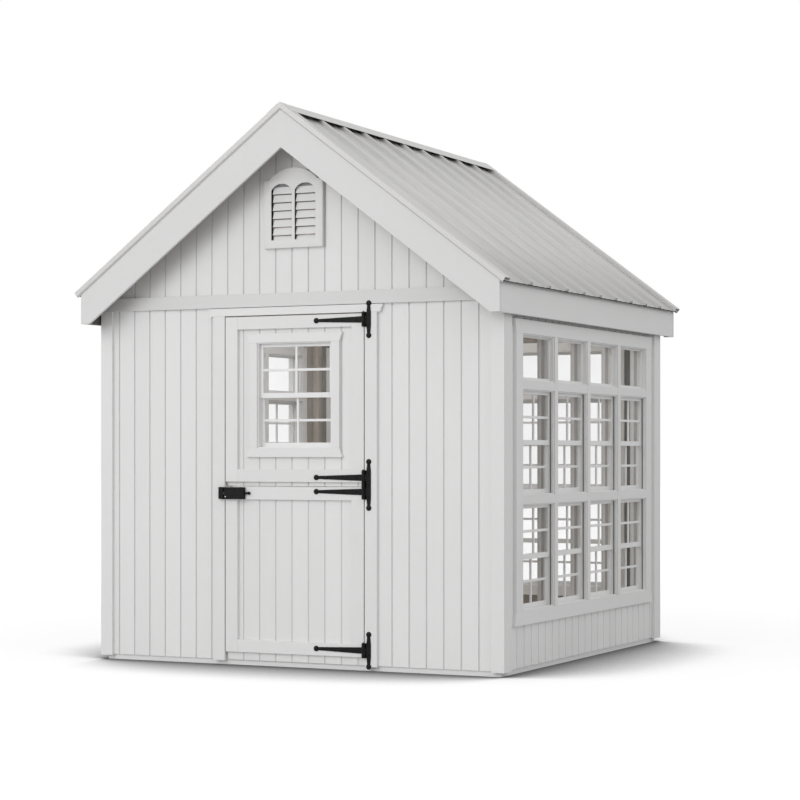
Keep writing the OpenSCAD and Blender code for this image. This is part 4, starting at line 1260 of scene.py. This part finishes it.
def turned_solid(profile, centre, axis, steps=32):
    """A closed solid of revolution. The profile holds (radius, distance along the axis)."""
    axis = Vector(axis).normalized()
    side = axis.orthogonal().normalized()
    other = axis.cross(side)
    centre = Vector(centre)
    points, faces = [], []
    rings = []
    for radius, along in profile:
        if radius < 1e-6:
            rings.append([len(points)])
            points.append(tuple(centre + axis * along))
            continue
        ring = []
        for i in range(steps):
            a = 2 * math.pi * i / steps
            ring.append(len(points))
            off = side * radius * math.cos(a) + other * radius * math.sin(a)
            points.append(tuple(centre + axis * along + off))
        rings.append(ring)
    for low, high in zip(rings, rings[1:]):
        for i in range(steps):
            j = (i + 1) % steps
            loop = [low[i % len(low)], low[j % len(low)], high[j % len(high)], high[i % len(high)]]
            clean = [c for n, c in enumerate(loop) if c not in loop[:n]]
            if len(clean) > 2:
                faces.append(clean)
    for ring in (rings[0], rings[-1]):
        if len(ring) > 1:
            faces.append(list(ring))
    return points, faces


OUT = (0, -1, 0)
PIN_X = 0.432
PIN_Y = -1.260
IRON_THICK = 0.004


def dome(work, x, z, radius, height, flat=0.0, y=-TRIM_FACE):
    """A round head with a domed face, standing on a surface at Y."""
    profile = [(radius, 0.0), (radius, height * 0.25)]
    for i in range(1, 6):
        a = i / 6 * math.pi / 2
        profile.append((flat + (radius - flat) * math.cos(a), height * (0.25 + 0.75 * math.sin(a))))
    profile.append((0.0, height))
    work.add(*turned_solid(profile, (x, y, z), OUT, 28), (0, 0, 1))


def round_end(work, x, z):
    dome(work, x, z, 0.0152, 0.008, 0.003)


def screw_head(work, x, z):
    dome(work, x, z, 0.0055, 0.0032, 0.0012, -TRIM_FACE - IRON_THICK)


def barrel(work, low, high):
    radius, soft = 0.010, 0.0012
    profile = [(0, low), (radius - soft, low), (radius, low + soft),
               (radius, high - soft), (radius - soft, high), (0, high)]
    work.add(*turned_solid(profile, (PIN_X, PIN_Y, 0), (0, 0, 1), 28), (0, 0, 1))


def forged_plate(work, outline):
    """A plate on the trim face, its front edges eased."""
    soft = 0.0009
    middle = Vector((sum(x for x, z in outline) / len(outline), sum(z for x, z in outline) / len(outline)))
    inner = []
    count = len(outline)
    for i in range(count):
        here, before, after = (Vector(outline[k % count]) for k in (i, i - 1, i + 1))
        a, b = (here - before).normalized(), (after - here).normalized()
        normal = Vector((-(a + b).y, (a + b).x)).normalized()
        if normal.dot(middle - here) < 0:
            normal = -normal
        inner.append(here + normal * soft * 1.2)
    rings = [(outline, 0.0), (outline, IRON_THICK - soft), (inner, IRON_THICK)]
    points = [(x, -TRIM_FACE - y, z) for loop, y in rings for x, z in loop]
    faces = [list(range(count)), [2 * count + i for i in range(count)]]
    for level in (0, count):
        for i in range(count):
            j = (i + 1) % count
            faces.append([level + i, level + j, level + count + j, level + count + i])
    work.add(points, faces, (1, 0, 0))


def strap(work, z):
    """A strap that tapers from the hinge's barrel to a round tip, held by three screws."""
    root_half, tip_half, steps = 0.0175, 0.008, 8
    root, length = PIN_X - 0.012, 0.279
    outline = [(PIN_X, z - root_half), (PIN_X, z + root_half)]
    for edge, shares in ((1, range(steps + 1)), (-1, range(steps, -1, -1))):
        for i in shares:
            half = root_half + (tip_half - root_half) * i / steps
            outline.append((root - i / steps * length, z + edge * half))
    forged_plate(work, outline)
    round_end(work, root - length, z)
    barrel(work, z - root_half, z + root_half)
    for x in (0.385, 0.300, 0.205):
        screw_head(work, x, z)


def neck(work, x, start, end):
    """The tapered end of a hinge plate."""
    wide, narrow = 0.0125, 0.008
    outline = [(x - wide, start), (x + wide, start), (x + narrow, end), (x - narrow, end)]
    forged_plate(work, outline)
    round_end(work, x, end)


def plate(work, low, high, end_low, end_high, screws):
    """A hinge plate on the casing, with a neck and a round end above and below."""
    outline = [(0.441, low), (0.473, low), (0.473, high), (0.441, high)]
    middle = 0.460
    forged_plate(work, outline)
    neck(work, middle, low, end_low)
    neck(work, middle, high, end_high)
    for z in screws:
        screw_head(work, middle, z)


def plate_knuckle(work, low, high):
    barrel(work, low, high)
    forged_plate(work, [(0.433, low), (0.446, low), (0.446, high), (0.433, high)])


def pin(work, low, high):
    """A hinge pin with a round cap."""
    radius = 0.004
    profile = [(0, low), (radius, low), (radius, high)]
    profile += [(0.0062, high), (0.0062, high + 0.0015), (0.0048, high + 0.0032), (0, high + 0.004)]
    work.add(*turned_solid(profile, (PIN_X, PIN_Y, 0), (0, 0, 1), 24), (0, 0, 1))


def ironwork():
    top, high, low, bottom = 1.896, 1.043, 0.966, 0.112
    for name, node, body, heights, seed in (
            ("upper_leaf_straps", "upper_door_straps", "upper_door", (top, high), 111),
            ("lower_leaf_straps", "lower_door_straps", "lower_door", (low, bottom), 112)):
        work = Joinery(seed)
        for z in heights:
            strap(work, z)
        piece(name, work.mesh(), body, [black_iron], [node], smooth=32)
    work = Joinery(113)
    inner, outer = 0.018, 0.040
    for z in (top, bottom):
        plate(work, z - outer, z + outer, z - 0.0865, z + 0.0865, (z - 0.024, z + 0.024))
        plate_knuckle(work, z - outer, z - inner)
        plate_knuckle(work, z + inner, z + outer)
        pin(work, z - outer, z + outer)
    plate(work, low - outer, high + outer, low - outer - 0.046, high + outer + 0.046,
          (low - 0.022, (low + high) / 2, high + 0.022))
    plate_knuckle(work, low - outer, low - inner)
    plate_knuckle(work, low + inner, high - inner)
    plate_knuckle(work, high + inner, high + outer)
    pin(work, low - outer, high + outer)
    piece("doorway_hinge_plates", work.mesh(), "house", [black_iron], ["hinge_plates"], smooth=32)
    latch()


def latch():
    """A box on the lower leaf, a sliding bolt with a knob, and a keeper on the casing."""
    z, y, front = 0.954, -1.260, -1.270
    dressed("latch_box", "latch_case", "lower_door", black_iron, 0.0014, 121)
    screws = Joinery(122)
    for x, off in ((-0.414, 0.024), (-0.314, 0.024), (-0.314, -0.024)):
        dome(screws, x, z + off, 0.0050, 0.0022, 0.0015, front)
    piece("latch_box_screws", screws.mesh(), "lower_door", [black_iron], smooth=32)
    rivet = Joinery(125)
    dome(rivet, -0.4195, z - 0.020, 0.0040, 0.0018, 0.0015, front)
    piece("latch_box_rivet", rivet.mesh(), "lower_door", [screw_steel], smooth=32)
    bolt = Joinery(123)
    profile = [(0, -0.430), (0.005, -0.430), (0.006, -0.429), (0.006, -0.2795), (0.0078, -0.2790),
               (0.0090, -0.2778), (0.0090, -0.2740), (0.0072, -0.2705), (0.0045, -0.2680), (0, -0.2670)]
    bolt.add(*turned_solid(profile, (0, y, z), (1, 0, 0), 32), (1, 0, 0))
    piece("latch_sliding_bolt", bolt.mesh(), "door_bolt", [black_iron], ["latch_bolt"], smooth=32)
    keeper = Joinery(124)
    face, half, slot = -TRIM_FACE, 0.033, 0.007
    keeper.prism([(face, z - half), (front, z - half), (front, z + half), (face, z + half),
                  (face, z + slot), (-1.267, z + slot), (-1.267, z - slot), (face, z - slot)],
                 -0.464, -0.435, "X", (0, 0, 1))
    piece("latch_staple", keeper.mesh(), "house", [black_iron], ["latch_keeper"], 0.0009)


floor_pieces()
front_framing()
for side, node, half, gable, seed in (
        ("back", "back_frame", WALL - STUD_DEEP, True, 22), ("left", "left_frame", WALL, False, 23),
        ("right", "right_frame", WALL, False, 24)):
    window_wall_framing(side + "_wall_studs", node, side, half, gable, seed)
wall_siding()
corner_trim()
door_casings()
for side, seed in (("back", 51), ("left", 52), ("right", 53)):
    window_casings(side, seed)
    inner_casings(side, seed + 100)
    wall_windows(side)
vents()
roof_timber()
roof_sheets()
ridge_cap()
rake_metal()
roof_fittings()
door_leaves()
ironwork()


# Floor of the studio, light and camera


def studio_floor():
    """A pale floor. To the camera it is brighter further off, and darker where the object covers it."""
    mesh = bpy.data.meshes.new("studio_floor")
    reach = 60.0
    corners = [(-reach, -reach, 0), (reach, -reach, 0), (reach, reach, 0), (-reach, reach, 0)]
    mesh.from_pydata(corners, [], [[0, 1, 2, 3]])
    ground = link(bpy.data.objects.new("studio_floor", mesh))
    material = bpy.data.materials.new("studio_floor")
    material.use_nodes = True
    nodes = Nodes(material.node_tree)
    nodes.tree.nodes.remove(nodes.tree.nodes["Principled BSDF"])
    path = nodes.add("ShaderNodeLightPath")
    plain = nodes.add("ShaderNodeBsdfDiffuse", {"Color": (0.62, 0.62, 0.62, 1)})
    covered = nodes.add("ShaderNodeAmbientOcclusion", {"Distance": 1.4}, samples=24).outputs["AO"]
    under = nodes.add("ShaderNodeAmbientOcclusion", {"Distance": 0.14}, samples=4).outputs["AO"]
    wide_shade = nodes.math("POWER", nodes.spread(covered, 0.5, 0.8, 0.3, 1.0), 1.45)
    contact = nodes.math("MULTIPLY", wide_shade, nodes.spread(under, 0.5, 0.9, 0.6, 1.0))
    tone = nodes.mix(contact, (0.0, 0.0, 0.0, 1), (0.3, 0.3, 0.3, 1))
    seen = nodes.add("ShaderNodeBsdfDiffuse", {"Color": tone})
    away = nodes.add("ShaderNodeVectorMath", {0: nodes.place()}, operation="LENGTH").outputs["Value"]
    level = nodes.math("MULTIPLY", nodes.spread(away, 2.4, 9.0, 0.76, 0.90), contact)
    glow = nodes.add("ShaderNodeEmission", {"Color": (1, 1, 1, 1), "Strength": level})
    bright = nodes.add("ShaderNodeAddShader", {0: seen.outputs[0], 1: glow.outputs[0]})
    share = nodes.math("MAXIMUM", path.outputs["Is Camera Ray"], path.outputs["Is Transmission Ray"])
    mixed = nodes.add("ShaderNodeMixShader", {0: share, 1: plain.outputs[0], 2: bright.outputs[0]})
    nodes.wire(mixed.outputs[0], nodes.tree.nodes["Material Output"].inputs["Surface"])
    ground.data.materials.append(material)


def studio_light():
    world = bpy.data.worlds.new("studio")
    bpy.context.scene.world = world
    world.use_nodes = True
    nodes = Nodes(world.node_tree)
    path = nodes.add("ShaderNodeLightPath")
    through = nodes.math("MAXIMUM", path.outputs["Is Glossy Ray"], path.outputs["Is Transmission Ray"])
    seen = nodes.math("MAXIMUM", path.outputs["Is Camera Ray"], through)
    strength = nodes.spread(seen, 0.0, 1.0, 0.648, 1.0)
    background = nodes.tree.nodes["Background"]
    background.inputs["Color"].default_value = (1, 1, 1, 1)
    nodes.wire(strength, background.inputs["Strength"])

    def lamp(name, place, aim, power, size):
        data = bpy.data.lights.new(name, "AREA")
        data.energy = power
        data.size = size
        thing = link(bpy.data.objects.new(name, data))
        thing.location = place
        thing.rotation_euler = (Vector(aim) - Vector(place)).to_track_quat("-Z", "Y").to_euler()
        thing.visible_camera = False

    lamp("key_light", (-2.8, -12.0, 5.6), (0, 0, 1.4), 505, 8.0)
    lamp("fill_light", (8.0, -3.0, 7.0), (0, 0, 1.4), 100, 6.0)
    lamp("inside_light", (0, 0, 2.55), (0, 0, 0), 16, 1.2)


def camera():
    data = bpy.data.cameras.new("camera")
    data.lens = 98.84
    data.sensor_width = 36
    data.shift_y = 0.0657
    data.clip_end = 200
    thing = link(bpy.data.objects.new("camera", data))
    thing.location = (5.728, -11.828, 1.1785)
    thing.rotation_euler = (math.pi / 2, 0, math.radians(25.661))
    bpy.context.scene.camera = thing


studio_floor()
studio_light()
camera()
bpy.context.scene.view_settings.view_transform = "Standard"
